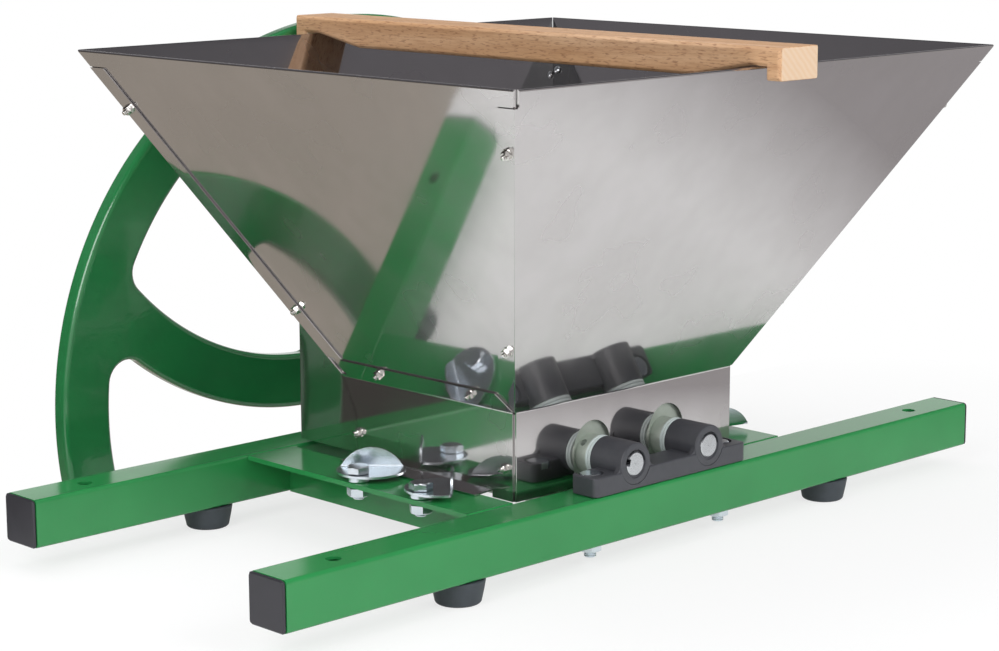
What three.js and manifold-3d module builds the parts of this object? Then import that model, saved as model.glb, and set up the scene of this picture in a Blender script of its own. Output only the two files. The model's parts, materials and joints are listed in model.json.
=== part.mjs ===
// Hand-cranked apple scratter: a sheet-metal hopper over two geared, toothed rollers on a tube frame.
// Millimetres, +Z up, X along the rails, Y from the front rail to the flywheel.
// The origin is the middle of the front rail's underside.
import * as THREE from 'three';
import { mergeVertices } from 'three/addons/utils/BufferGeometryUtils.js';
import Module from 'manifold-3d';

const wasm = await Module();
wasm.setup();

// Facets of a full turn
const bearingFacets = 26;
const wheelFacets = 56;
const windowStep = 40;
const roundFacets = 16;
const boltFacets = 10;

// Cutters and joined pieces run this far past the faces they meet, and points closer than this are one
const overrun = 1;
const leastStep = 0.02;
const weldDistance = 1e-4;

// Clearances
const seatGap = 0.3;
const runningGap = 0.09;
const boltGap = 0.3;

// Frame of square tube and angle section
const railLength = 817;
const railSize = 40;
const railWall = 2.5;
const railCorner = 3;
const railSpacing = 314;
const railHoleInset = 61;
const railHoleRadius = 6;
const crossCentreX = -5;
const crossSpan = 378;
const crossFlange = 50;
const crossThickness = 4;
const capLip = 3.2;
const capPlugLength = 16;
const capWall = 2.5;
const capPlugGap = 0.6;
const capEdge = 1.2;
const footSpacing = 446;
const footHeight = 20;
const footTopRadius = 21.5;
const footBottomRadius = 18.5;
const footEdge = 3;
const footRecessRadius = 8;
const footRecessDepth = 12;

// Gears set the distance between the two axles
const gearModule = 5;
const gearTeeth = 18;
const gearWidth = 22;
const gearPressureAngle = 20;
const gearDedendum = 1.25;
const gearBacklash = 0.5;
const axlesCentreX = 2;
const axleHeight = 21;
const shaftRadius = 10;
const hubRadius = 16.5;
const setScrewRadius = 3.2;
const screwFromFront = 7;
const drivenScrewAngle = 134;
const driveScrewAngle = 35;
const keyWidth = 6;
const keyHeight = 6;
const shaftKeyDepth = 3.5;
const keySlotTurn = 15;
const keyInset = 3;
const keyEndRoom = 1;
const shaftEndInset = 2;

// Bearing blocks
const blockLength = 184;
const blockDepth = 28.4;
const blockBase = 16;
const blockOverhang = 19;
const blockCorner = 5;
const blockEdge = 1;
const barrelRadius = 17.5;
const barrelLength = 35;
const webThickness = 5;
const webFillet = 6;
const boreReliefRadius = 11.6;
const boreReliefDepth = 3;
const shaftRecess = 0.3;
const boltSpacing = 157;
const boltRadius = 5;
const boltHeadAcross = 17;
const boltHeadHeight = 6.4;
const nutHeight = 8;
const boltTail = 5;
const pocketRadius = 11;
const washerThickness = 5.4;

// Crushing rollers
const rollerLength = 184;
const rollerTip = 52;
const rollerRoot = 34.5;
const rollerTeeth = 8;
const rollerRows = 5;
const toothTipWidth = 7;
const toothRootWidth = 14;
const frontHubLength = 12;
const backHubLength = 24.5;
const slotRadius = 21.5;
const slotRise = 7;
const slotReach = 5;
const backSlotReach = 8;

// Hopper and chamber of folded sheet; widths are those of the inside
const sheet = 1.2;
const sheetOverlap = 0.5;
const hopperCentreX = -0.5;
const hopperCentreY = 135.4;
const rimHalfX = 281.7;
const rimHalfY = 260.6;
const rimHeight = 346.8;
const bendHeight = 69.7;
const chamberHalfX = 128.8;
const chamberFront = 104.2;
const chamberBack = 86.6;
const hemWidth = 15;
const hemClear = 2;
const flangeWidth = 15;
const flangeEndGap = 2;
const flapHeight = 15.5;
const flapFrontY = 47;
const flapStep = 1;
const wallFrontInset = 2.8;
const tabReach = 22.7;
const wallDrop = 4;
const tabRise = 1.2;
const tabFrontY = 56;
const guardBackY = 298;
const guardBottom = 4.5;
const guardSlotRadius = 20;
const deflectorFlange = 15;
const deflectorBend = 57;
const deflectorGap = 2.5;

// Loose beech bar across the rim
const barWidth = 47;
const barDepth = 25.5;
const barCentreX = -5;
const barLeg = 15;
const barLegGap = 6.5;
const hemSheets = 2.6;
const barSeat = 6;
const barTaper = 56;
const barEdge = 2.5;
const barDrop = 10.6;

// Turning clips that hold the hopper's tabs down
const clipRadius = 29;
const clipThickness = 2;
const clipChord = 11;
const clipOffset = 15;
const clipSide = 9.5;
const clipAngleLeft = 45;
const clipAngleRight = 74;
const clipEdgeInset = 9.5;
const clipBackY = 160;
const clipFrontY = 84;
const clipCollar = 4;
const clipCollarRadius = 9;
const clipShoulderRadius = 6.2;

// Flywheel and crank
const wheelRadius = 338;
const wheelRim = 49;
const wheelThickness = 18;
const wheelFront = 424;
const wheelEdge = 3;
const spokeCount = 4;
const spokeWidth = 50;
const spokeCurve = 289;
const spokeStraight = 60;
const wheelHubRadius = 62;
const windowFillet = 20;
const bossRadius = 28;
const bossFront = 20;
const bossBack = 10;
const spacerRadius = 14;
const retainerRadius = 22;
const retainerThickness = 4;
const retainerShank = 26;
const crankRadius = wheelRadius - wheelRim / 2;
const crankAngle = -19;
const crankPinRadius = 6;
const crankHeadHeight = 7;
const gripLength = 112;
const gripRadius = 17;
const gripNeck = 13;
const gripSteps = 5;
const gripSwellEnd = 0.8;
const gripSwellPower = 0.6;
const gripTail = 0.82;
const gripRounding = 2;
const pinHeadInset = 1;
const pinHeadRim = 2;
const pinHeadShoulder = 5;
const pinHeadHeight = 6;

// Places worked out from the sizes above
const railTop = railSize;
const axleZ = railTop + axleHeight;
const shaftSpacing = gearModule * gearTeeth;
const drivenX = axlesCentreX - shaftSpacing / 2;
const driveX = axlesCentreX + shaftSpacing / 2;
const blockFrontY = -blockOverhang;
const blockBackY = railSpacing + blockOverhang;
const frontHubY = blockFrontY + barrelLength + washerThickness + 2 * seatGap;
const rollerY = frontHubY + frontHubLength;
const gearY = rollerY + rollerLength + backHubLength + seatGap;
const gearHubEnd = blockBackY - barrelLength - washerThickness - 2 * seatGap;
const gearHubLength = gearHubEnd - gearY - gearWidth;
const wheelBack = wheelFront + wheelThickness;
const rimZ = railTop + rimHeight;
const bendZ = railTop + bendHeight;
const outerLayer = sheet + seatGap;
const outerFace = outerLayer + sheet;
const tabZ = railTop + seatGap;
const wallBottom = railTop - wallDrop;
const hopperSlope = rimHeight - bendHeight;
const backBendZ = rimZ - (rimHalfY - chamberBack) * hopperSlope / (rimHalfY - chamberFront);

const degrees = (angle) => angle * Math.PI / 180;

// Outlines
const polygon = (points) => new THREE.Shape(points.map(([a, b]) => new THREE.Vector2(a, b)));

const distinct = (points) => points.filter((point, i) => (
  point.distanceTo(points[(i + 1) % points.length]) > leastStep
));

const hexagon = (acrossFlats) => {
  const corner = acrossFlats / Math.sqrt(3);
  return polygon([0, 1, 2, 3, 4, 5].map((i) => [
    corner * Math.cos(i * Math.PI / 3),
    corner * Math.sin(i * Math.PI / 3),
  ]));
};

const roundedSquare = (size, corner) => {
  const inner = size / 2 - corner;
  const shape = new THREE.Shape();
  shape.absarc(inner, inner, corner, 0, Math.PI / 2, false);
  shape.absarc(-inner, inner, corner, Math.PI / 2, Math.PI, false);
  shape.absarc(-inner, -inner, corner, Math.PI, 1.5 * Math.PI, false);
  shape.absarc(inner, -inner, corner, 1.5 * Math.PI, 2 * Math.PI, false);
  shape.closePath();
  return shape;
};

// A line of points moved sideways by a distance, with mitred corners
const offsetLine = (path, distance) => {
  const direction = (from, to) => {
    const length = Math.hypot(to[0] - from[0], to[1] - from[1]);
    return [(to[0] - from[0]) / length, (to[1] - from[1]) / length];
  };
  return path.map((point, i) => {
    const before = i > 0 ? direction(path[i - 1], point) : direction(point, path[i + 1]);
    const after = i < path.length - 1 ? direction(point, path[i + 1]) : before;
    const normals = [[-before[1], before[0]], [-after[1], after[0]]];
    const agreement = normals[0][0] * normals[1][0] + normals[0][1] * normals[1][1];
    const reach = distance / (1 + agreement);
    return [
      point[0] + reach * (normals[0][0] + normals[1][0]),
      point[1] + reach * (normals[0][1] + normals[1][1]),
    ];
  });
};

// Solids. An outline is drawn as (y, z) along 'x', (x, z) along 'y' and (x, y) along 'z'
const swapToX = new THREE.Matrix4().makeBasis(
  new THREE.Vector3(0, 1, 0),
  new THREE.Vector3(0, 0, 1),
  new THREE.Vector3(1, 0, 0),
);

const extrude = (outline, axis, from, to, { bevel = 0, bevelSegments = 1, curveSegments = 8 } = {}) => {
  const geometry = new THREE.ExtrudeGeometry(outline, {
    depth: to - from - 2 * bevel,
    bevelEnabled: bevel > 0,
    bevelThickness: bevel,
    bevelSize: bevel,
    bevelOffset: -bevel,
    bevelSegments,
    curveSegments,
  });
  geometry.translate(0, 0, bevel);
  if (axis === 'x') {
    geometry.applyMatrix4(swapToX);
    geometry.translate(from, 0, 0);
  } else if (axis === 'y') {
    geometry.rotateX(Math.PI / 2);
    geometry.translate(0, to, 0);
  } else {
    geometry.translate(0, 0, from);
  }
  return geometry;
};

const box = (x0, x1, y0, y1, z0, z1) => {
  const geometry = new THREE.BoxGeometry(x1 - x0, y1 - y0, z1 - z0);
  geometry.translate((x0 + x1) / 2, (y0 + y1) / 2, (z0 + z1) / 2);
  return geometry;
};

// Turned about Y, or about Z; the profile is (radius, height) with the outside going up
const turned = (profile, axis = 'y', segments = bearingFacets) => {
  const geometry = new THREE.LatheGeometry(profile.map(([r, h]) => new THREE.Vector2(r, h)), segments);
  if (axis === 'z') geometry.rotateX(Math.PI / 2);
  return geometry;
};

const rod = (radius, from, to, axis = 'y', segments = bearingFacets) => turned(
  [[0, from], [radius, from], [radius, to], [0, to]],
  axis,
  segments,
);

const ring = (bore, radius, from, to) => turned(
  [[bore, from], [radius, from], [radius, to], [bore, to], [bore, from]],
  'y',
  roundFacets,
);

const moved = (geometry, x, y, z) => geometry.translate(x, y, z);

// Joining and cutting
const toSolid = (geometry) => {
  const bare = geometry.clone();
  bare.deleteAttribute('normal');
  bare.deleteAttribute('uv');
  const merged = mergeVertices(bare, weldDistance);
  const index = merged.index.array;
  const triangles = [];
  for (let i = 0; i < index.length; i += 3) {
    const [a, b, c] = [index[i], index[i + 1], index[i + 2]];
    if (a !== b && b !== c && c !== a) triangles.push(a, b, c);
  }
  return new wasm.Manifold(new wasm.Mesh({
    numProp: 3,
    vertProperties: merged.attributes.position.array,
    triVerts: new Uint32Array(triangles),
  }));
};

const toGeometry = (solid) => {
  const mesh = solid.getMesh();
  const geometry = new THREE.BufferGeometry();
  geometry.setAttribute('position', new THREE.BufferAttribute(mesh.vertProperties, 3));
  geometry.setIndex(new THREE.BufferAttribute(mesh.triVerts, 1));
  geometry.computeVertexNormals();
  return geometry;
};

const asSolid = (piece) => (piece.isBufferGeometry ? toSolid(piece) : piece);
const join = (...pieces) => pieces.map(asSolid).reduce((whole, piece) => whole.add(piece));
const cut = (piece, ...tools) => (
  tools.map(asSolid).reduce((rest, tool) => rest.subtract(tool), asSolid(piece))
);
const common = (...pieces) => pieces.map(asSolid).reduce((rest, piece) => rest.intersect(piece));

// Finishes
const finishes = {
  greenPaint: [0x2a7d46, 0.35, 0.1],
  darkGreenPaint: [0x1e5f35, 0.3, 0.1],
  stainless: [0xb4b4b2, 0.3, 1],
  zinc: [0xc3cbd3, 0.3, 1],
  steel: [0xb8babd, 0.35, 1],
  aluminium: [0xa4aaa6, 0.5, 1],
  blackPlastic: [0x2d2f33, 0.55, 0],
  rubber: [0x26282c, 0.75, 0],
  nylon: [0xdfe3e6, 0.45, 0],
  beech: [0xc99b6b, 0.6, 0],
};

const scratter = new THREE.Group();

const place = (parent, name, piece, finish, position = [0, 0, 0], turn = 0) => {
  const [color, roughness, metalness] = finishes[finish];
  const geometry = piece.isBufferGeometry ? piece : toGeometry(piece);
  const mesh = new THREE.Mesh(geometry, new THREE.MeshStandardMaterial({ color, roughness, metalness }));
  mesh.name = name;
  mesh.position.set(...position);
  mesh.rotation.z = turn;
  parent.add(mesh);
  return mesh;
};

const rails = [['front', 0], ['back', railSpacing]];
const sides = [['left', -1], ['right', 1]];

// Rails: hollow square tube, drilled for the stand, the bearing bolts and the feet
const railSolid = () => {
  const section = roundedSquare(railSize, railCorner);
  section.holes.push(roundedSquare(railSize - 2 * railWall, railCorner / 2));
  const tube = extrude(section, 'x', -railLength / 2, railLength / 2, { curveSegments: 2 });
  const through = (radius, x, facets) => moved(rod(radius, -railSize, railSize, 'z', facets), x, 0, 0);
  return cut(
    tube,
    ...[-1, 1].map((s) => through(railHoleRadius, s * (railLength / 2 - railHoleInset), roundFacets)),
    ...[-1, 1].map((s) => through(boltRadius + boltGap, axlesCentreX + s * boltSpacing / 2, boltFacets)),
  );
};

// End caps: a lip as large as the tube and a hollow plug inside it
const capSolid = () => {
  const face = roundedSquare(railSize, railCorner);
  const lip = extrude(face, 'x', seatGap, capLip, { bevel: capEdge, curveSegments: 1 });
  const half = railSize / 2 - railWall - capPlugGap;
  const inner = half - capWall;
  return join(
    lip,
    cut(
      box(-capPlugLength, seatGap + capEdge, -half, half, -half, half),
      box(-capPlugLength - overrun, seatGap, -inner, inner, -inner, inner),
    ),
  );
};

const footGeometry = () => turned([
  [0, -footHeight + footRecessDepth],
  [footRecessRadius, -footHeight + footRecessDepth],
  [footRecessRadius, -footHeight],
  [footBottomRadius - footEdge, -footHeight],
  [footBottomRadius, -footHeight + footEdge],
  [footTopRadius, -seatGap],
  [0, -seatGap],
], 'z', roundFacets);

// Bearing bolt: hexagon head in the block's pocket, nut and tail below the rail
const boltSolid = (headBase) => join(
  extrude(hexagon(boltHeadAcross), 'z', headBase, headBase + boltHeadHeight),
  rod(boltRadius, -seatGap - nutHeight - boltTail, headBase + overrun, 'z', boltFacets),
  extrude(hexagon(boltHeadAcross), 'z', -seatGap - nutHeight, -seatGap),
);

rails.forEach(([rail, railY]) => {
  place(scratter, `rail_${rail}`, railSolid(), 'greenPaint', [0, railY, railSize / 2]);
  sides.forEach(([side, s]) => {
    const turn = s < 0 ? Math.PI : 0;
    const cap = [s * railLength / 2, railY, railSize / 2];
    place(scratter, `rail_cap_${rail}_${side}`, capSolid(), 'blackPlastic', cap, turn);
    place(scratter, `foot_${rail}_${side}`, footGeometry(), 'rubber', [s * footSpacing / 2, railY, 0]);
    const boltX = axlesCentreX + s * boltSpacing / 2;
    const headBase = railTop + seatGap + blockBase - boltHeadHeight;
    place(scratter, `bearing_bolt_${rail}_${side}`, boltSolid(headBase), 'zinc', [boltX, railY, 0]);
  });
});

// Cross members: angle sections welded between the rails, with the clip bolts' holes
const clipBoltX = (s) => crossCentreX + s * (crossSpan / 2 - clipEdgeInset);
sides.forEach(([side, s]) => {
  const outer = crossCentreX + s * crossSpan / 2;
  const inner = outer - s * crossFlange;
  const leg = inner + s * crossThickness;
  const section = polygon([
    [outer, railTop], [inner, railTop], [inner, 0], [leg, 0],
    [leg, railTop - 2 * crossThickness], [leg + s * crossThickness, railTop - crossThickness],
    [outer, railTop - crossThickness],
  ]);
  const ends = railSize / 2 + seatGap;
  const holes = [clipFrontY, clipBackY].map((y) => moved(
    rod(boltRadius + boltGap, 0, railSize + overrun, 'z', boltFacets), clipBoltX(s), y, 0,
  ));
  const member = cut(extrude(section, 'y', ends, railSpacing - ends), ...holes);
  place(scratter, `cross_member_${side}`, member, 'greenPaint');
});

// Bearing blocks: a moulded base with two barrels and filleted webs at the front face
const webOutline = () => {
  const centre = axleHeight - seatGap;
  const rise = centre - blockBase;
  const shape = new THREE.Shape();
  const filletZ = blockBase + webFillet;
  const filletX = Math.sqrt((barrelRadius + webFillet) ** 2 - (rise - webFillet) ** 2);
  const tilt = Math.atan2(webFillet - rise, filletX);
  shape.moveTo(-filletX, overrun);
  shape.lineTo(filletX, overrun);
  shape.lineTo(filletX, blockBase);
  shape.absarc(filletX, filletZ, webFillet, -Math.PI / 2, Math.PI + tilt, true);
  shape.lineTo(0, centre);
  shape.absarc(-filletX, filletZ, webFillet, -tilt, -Math.PI / 2, true);
  shape.closePath();
  return shape;
};

const blockSolid = () => {
  const half = blockLength / 2;
  const plan = new THREE.Shape();
  plan.absarc(half - blockCorner, blockCorner, blockCorner, -Math.PI / 2, 0, false);
  plan.absarc(half - blockCorner, blockDepth - blockCorner, blockCorner, 0, Math.PI / 2, false);
  plan.absarc(blockCorner - half, blockDepth - blockCorner, blockCorner, Math.PI / 2, Math.PI, false);
  plan.absarc(blockCorner - half, blockCorner, blockCorner, Math.PI, 1.5 * Math.PI, false);
  plan.closePath();
  const base = extrude(plan, 'z', 0, blockBase, { curveSegments: 2 });
  const centre = axleHeight - seatGap;
  const at = [-shaftSpacing / 2, shaftSpacing / 2];
  const barrel = turned([
    [0, 0], [barrelRadius - blockEdge, 0], [barrelRadius, blockEdge], [barrelRadius, barrelLength],
    [0, barrelLength],
  ]);
  const barrels = at.map((x) => moved(barrel.clone(), x, 0, centre));
  const web = extrude(webOutline(), 'y', blockEdge, webThickness, { curveSegments: 4 });
  const webs = at.map((x) => moved(web.clone(), x, 0, 0));
  const bore = rod(shaftRadius + runningGap, -overrun, barrelLength + overrun);
  const bores = at.map((x) => moved(bore.clone(), x, 0, centre));
  const relief = rod(boreReliefRadius, -overrun, boreReliefDepth, 'y', roundFacets);
  const reliefs = at.map((x) => moved(relief.clone(), x, 0, centre));
  const boltAt = [-boltSpacing / 2, boltSpacing / 2];
  const pocketFloor = blockBase - boltHeadHeight - seatGap;
  const shank = rod(boltRadius + boltGap, -overrun, blockBase, 'z', boltFacets);
  const shanks = boltAt.map((x) => moved(shank.clone(), x, blockOverhang, 0));
  const pocket = rod(pocketRadius, pocketFloor, blockBase + overrun, 'z', roundFacets);
  const pockets = boltAt.map((x) => moved(pocket.clone(), x, blockOverhang, 0));
  return cut(join(base, ...barrels, ...webs), ...bores, ...reliefs, ...shanks, ...pockets);
};

[['front', blockFrontY, 0], ['back', blockBackY, Math.PI]].forEach(([end, y, turn]) => {
  const at = [axlesCentreX, y, railTop + seatGap];
  place(scratter, `bearing_block_${end}`, blockSolid(), 'blackPlastic', at, turn);
});

// Thrust washers: nylon rings between the barrels and the rotating hubs
const washerGeometry = () => ring(shaftRadius + boltGap, barrelRadius, 0, washerThickness);

// Shafts: the driven one shows an open keyway at its front end, the other carries the wheel
const frontShaftY = blockFrontY + shaftRecess;
const drivenShaftSolid = () => {
  const keySlot = box(
    -shaftRadius - overrun, shaftKeyDepth - shaftRadius, -overrun, barrelLength, -keyWidth / 2, keyWidth / 2,
  );
  keySlot.rotateY(degrees(keySlotTurn));
  return cut(rod(shaftRadius, 0, blockBackY - shaftRecess - frontShaftY), keySlot);
};

const wheelBossFront = wheelFront - bossFront;
const wheelBossBack = wheelBack + bossBack;
const driveShaftEnd = wheelBossBack - shaftEndInset;
const keyLength = wheelBossBack - wheelBossFront - 2 * keyInset;
const keyBase = shaftRadius - shaftKeyDepth;
const driveShaftSolid = () => {
  const keyFrom = wheelBossFront + keyInset - keyEndRoom - frontShaftY;
  const length = driveShaftEnd - frontShaftY;
  const half = keyWidth / 2 + seatGap;
  return cut(
    rod(shaftRadius, 0, length),
    box(-half, half, keyFrom - seatGap, length + overrun, keyBase - seatGap, shaftRadius + overrun),
    rod(crankPinRadius + boltGap, length - retainerShank - keyEndRoom, length + overrun, 'y', boltFacets),
  );
};

// A hub's set screw hole, at a height along the axle and an angle above its right side
const setScrewHole = (along, angle) => {
  const hole = rod(setScrewRadius, shaftRadius - 2 * overrun, hubRadius + overrun, 'z', boltFacets);
  return hole.translate(0, along, 0).rotateY(degrees(90 - angle));
};

// Toothed roller: rows of lobes, each row turned a little further than the last
const lobeRow = (turn, hand) => {
  const pitch = 2 * Math.PI / rollerTeeth;
  const rootHalf = Math.asin(toothRootWidth / 2 / rollerRoot);
  const tipHalf = Math.asin(toothTipWidth / 2 / rollerTip);
  const points = [];
  for (let i = 0; i < rollerTeeth; i += 1) {
    const centre = i * pitch + turn;
    const corners = [
      [rollerTip, centre - tipHalf], [rollerTip, centre + tipHalf],
      [rollerRoot, centre + rootHalf], [rollerRoot, centre + pitch - rootHalf],
    ];
    corners.forEach(([r, a]) => points.push([hand * r * Math.cos(a), r * Math.sin(a)]));
  }
  return polygon(points);
};

const rollerSolid = (hand, phase, screwAngle) => {
  const pitch = 2 * Math.PI / rollerTeeth;
  const rowLength = rollerLength / rollerRows;
  const rows = [];
  for (let i = 0; i < rollerRows; i += 1) {
    const start = frontHubLength + i * rowLength;
    rows.push(extrude(lobeRow(phase + i * pitch / rollerRows, hand), 'y', start, start + rowLength));
  }
  const length = frontHubLength + rollerLength + backHubLength;
  return cut(
    join(rod(hubRadius, 0, length, 'y', roundFacets), ...rows),
    rod(shaftRadius + boltGap / 2, -overrun, length + overrun),
    setScrewHole(screwFromFront, screwAngle),
  );
};

// Spur gear with involute teeth and a long hub
const gearOutline = (turn) => {
  const pitchRadius = gearModule * gearTeeth / 2;
  const pressure = degrees(gearPressureAngle);
  const baseRadius = pitchRadius * Math.cos(pressure);
  const tipRadius = pitchRadius + gearModule;
  const footRadius = pitchRadius - gearDedendum * gearModule;
  const involute = (angle) => Math.tan(angle) - angle;
  const pitchHalf = Math.PI / (2 * gearTeeth) - gearBacklash / (2 * pitchRadius);
  const halfAngle = (radius) => pitchHalf + involute(pressure) - involute(Math.acos(baseRadius / radius));
  const flankSteps = 2;
  const points = [];
  for (let tooth = 0; tooth < gearTeeth; tooth += 1) {
    const centre = turn + tooth * 2 * Math.PI / gearTeeth;
    const flank = [[footRadius, halfAngle(baseRadius)]];
    for (let i = 0; i <= flankSteps; i += 1) {
      const radius = baseRadius + (tipRadius - baseRadius) * i / flankSteps;
      flank.push([radius, halfAngle(radius)]);
    }
    const rising = flank.map(([r, a]) => [r, centre - a]);
    const falling = flank.map(([r, a]) => [r, centre + a]).reverse();
    [...rising, ...falling].forEach(([r, a]) => points.push([r * Math.cos(a), r * Math.sin(a)]));
  }
  return polygon(points);
};

const gearSolid = (turn, screwAngle) => {
  const length = gearWidth + gearHubLength;
  return cut(
    join(extrude(gearOutline(turn), 'y', 0, gearWidth), rod(hubRadius, 0, length, 'y', roundFacets)),
    rod(shaftRadius + boltGap / 2, -overrun, length + overrun),
    setScrewHole(gearWidth + screwFromFront, screwAngle),
  );
};

const halfTooth = Math.PI / gearTeeth;
const axles = [
  ['driven', drivenX, 1, 0, drivenScrewAngle, 0],
  ['drive', driveX, -1, Math.PI / rollerTeeth, driveScrewAngle, halfTooth],
];
axles.forEach(([name, x, hand, phase, screwAngle, gearTurn]) => {
  const axle = new THREE.Group();
  axle.position.set(x, 0, axleZ);
  scratter.add(axle);
  const shaft = name === 'drive' ? driveShaftSolid() : drivenShaftSolid();
  place(axle, `${name}_shaft`, shaft, 'steel', [0, frontShaftY, 0]);
  place(axle, `${name}_roller`, rollerSolid(hand, phase, screwAngle), 'aluminium', [0, frontHubY, 0]);
  place(axle, `${name}_gear`, gearSolid(gearTurn, screwAngle), 'steel', [0, gearY, 0]);
  const frontWasherY = blockFrontY + barrelLength + seatGap;
  place(axle, `thrust_washer_front_${name}`, washerGeometry(), 'nylon', [0, frontWasherY, 0]);
  const backWasherY = blockBackY - barrelLength - seatGap;
  place(axle, `thrust_washer_back_${name}`, washerGeometry(), 'nylon', [0, backWasherY, 0], Math.PI);
});

// Sheet paths run down each side as (distance out from the hopper's centre, height)
const sidePath = [[rimHalfX, rimZ], [chamberHalfX, bendZ], [chamberHalfX, wallBottom]];
const frontPath = [[rimHalfY, rimZ], [chamberFront, bendZ], [chamberFront, wallBottom]];
const backPath = [[rimHalfY, rimZ], [chamberBack, backBendZ], [chamberBack, wallBottom]];
const toX = (s) => ([d, z]) => [hopperCentreX + s * d, z];
const toY = (s) => ([d, z]) => [hopperCentreY + s * d, z];
const far = 400;

const strip = (path, inner, outer, map) => polygon([
  ...offsetLine(path, inner).map(map),
  ...offsetLine(path, outer).reverse().map(map),
]);
const alongY = (outline) => extrude(outline, 'y', hopperCentreY - far, hopperCentreY + far);
const alongX = (outline) => extrude(outline, 'x', hopperCentreX - far, hopperCentreX + far);

// The part of a path between two heights, as a path of its own
const pathBetween = (path, high, low) => {
  const crossing = (height) => {
    const i = path.findIndex((point, k) => k > 0 && point[1] <= height + weldDistance);
    const [[d0, z0], [d1, z1]] = [path[i - 1], path[i]];
    return [d0 + (d1 - d0) * (z0 - height) / (z0 - z1), height];
  };
  const between = path.filter(([, z]) => z < high - weldDistance && z > low + weldDistance);
  return [crossing(high), ...between, crossing(low)];
};

const hemLow = rimZ - hemWidth * Math.sin(Math.atan2(hopperSlope, rimHalfY - chamberFront));
const slotCutters = (radius, rise, y0, y1) => [drivenX, driveX].map((x) => {
  const outline = new THREE.Shape();
  outline.moveTo(x - radius, 0);
  outline.lineTo(x + radius, 0);
  outline.absarc(x, axleZ + rise, radius, 0, Math.PI, false);
  outline.closePath();
  return extrude(outline, 'y', y0, y1, { curveSegments: bearingFacets / 2 });
});

// Front and back panels: plate, outward hem, flanges outside the side panels and inside the walls
const crossPanel = (path, sign, wallLayer) => {
  const map = toY(sign);
  const plate = alongX(strip(path, 0, sheet, map));
  const hemPath = pathBetween(path, rimZ, hemLow);
  const hem = alongX(strip(hemPath, sheet / 2, 2 * sheet, map));
  const heights = (low, high) => box(-far, far, -far, 2 * far, low, high);
  const within = (offset, low, high) => {
    const line = offsetLine(sidePath, offset);
    return common(
      alongY(polygon([...line.map(toX(-1)), ...line.reverse().map(toX(1))])),
      heights(low, high),
    );
  };
  const flangeBand = alongX(strip(path, -flangeWidth, sheet, map));
  const upperFlanges = sides.map(([, s]) => common(
    alongY(strip(sidePath, outerLayer, outerFace, toX(s))),
    flangeBand,
    heights(bendZ + flapHeight + seatGap, hemLow - hemClear),
  ));
  const lowerFlanges = sides.map(([, s]) => common(
    alongY(strip(sidePath, 0, sheet, toX(s))),
    flangeBand,
    heights(wallBottom, Math.min(bendZ, path[1][1]) - flangeEndGap),
  ));
  const half = chamberHalfX + wallLayer;
  const lower = box(
    hopperCentreX - half, hopperCentreX + half, -far, 2 * far, wallBottom, bendZ + 2 * sheetOverlap,
  );
  return join(
    common(join(plate, hem), within(-seatGap, hemLow - hemClear - sheetOverlap, rimZ)),
    common(plate, within(outerFace, bendZ + sheetOverlap, hemLow - hemClear)),
    common(plate, lower),
    ...upperFlanges,
    ...lowerFlanges,
  );
};

const frontWallY = hopperCentreY - chamberFront;
const backWallY = hopperCentreY + chamberBack;
const frontPanel = cut(
  crossPanel(frontPath, -1, sheet),
  ...slotCutters(slotRadius, slotRise, frontWallY - slotReach, frontWallY + slotReach),
);
const backPanel = cut(
  crossPanel(backPath, 1, outerFace),
  ...slotCutters(slotRadius, slotRise, backWallY - slotReach, backWallY + backSlotReach),
);
place(scratter, 'hopper_front_panel', frontPanel, 'stainless');
place(scratter, 'hopper_back_panel', backPanel, 'stainless');

// Side panels lie between the front and back panels, under their flanges
const insideLength = (gap) => alongX(polygon([
  ...offsetLine(frontPath, gap).map(toY(-1)),
  ...offsetLine(backPath, gap).reverse().map(toY(1)),
]));

// Chamber walls: outside the flanges, with a flap up the hopper and a tab out over the cross member
const wallSolid = (s) => {
  const slopeX = (rimHalfX - chamberHalfX) / hopperSlope;
  const top = [chamberHalfX + flapHeight * slopeX, bendZ + flapHeight];
  const bend = [chamberHalfX, bendZ];
  const band = (...path) => alongY(strip(path, outerLayer, outerFace, toX(s)));
  const backAt = (z) => hopperCentreY + pathBetween(backPath, z, bendZ - 2 * flapHeight)[0][0];
  const frontEdge = frontWallY - sheet + wallFrontInset;
  const flapBackY = backAt(top[1]) - flangeWidth - seatGap;
  const backEdge = offsetLine(backPath, -seatGap).map(toY(1));
  const tabTop = tabZ + outerFace + tabRise;
  const plate = polygon([
    [frontEdge, wallBottom], [frontEdge, bendZ], [flapFrontY, top[1] + tabRise],
    [flapBackY, top[1] + tabRise], [flapBackY, bendZ + flapStep],
    [backAt(bendZ + flapStep) - seatGap, bendZ + flapStep],
    backEdge[1], [backEdge[2][0], tabTop], [tabFrontY, tabTop], [tabFrontY, wallBottom],
  ]);
  const tab = polygon([
    [tabFrontY, tabZ - tabRise], [tabFrontY, tabTop + overrun],
    [backEdge[2][0], tabTop + overrun], [backEdge[2][0], tabZ - tabRise],
  ]);
  return join(
    common(band(top, bend, [chamberHalfX, wallBottom]), alongX(plate)),
    common(
      band(bend, [chamberHalfX, tabZ + tabRise - outerLayer], [chamberHalfX + tabReach, tabZ - outerLayer]),
      alongX(tab),
    ),
  );
};

// Deflectors close the room between the chamber's sides and the rollers
const deflectorSolid = (s) => {
  const rollerX = s < 0 ? drivenX : driveX;
  const tip = s * (rollerX - hopperCentreX) + rollerTip + deflectorGap;
  const bend = railTop + deflectorBend;
  const path = [
    [chamberHalfX, bend + deflectorFlange],
    [chamberHalfX, bend],
    [tip, axleZ],
  ];
  return common(
    alongY(strip(path, -seatGap - sheet, -seatGap, toX(s))),
    insideLength(-2 * seatGap),
  );
};

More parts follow.
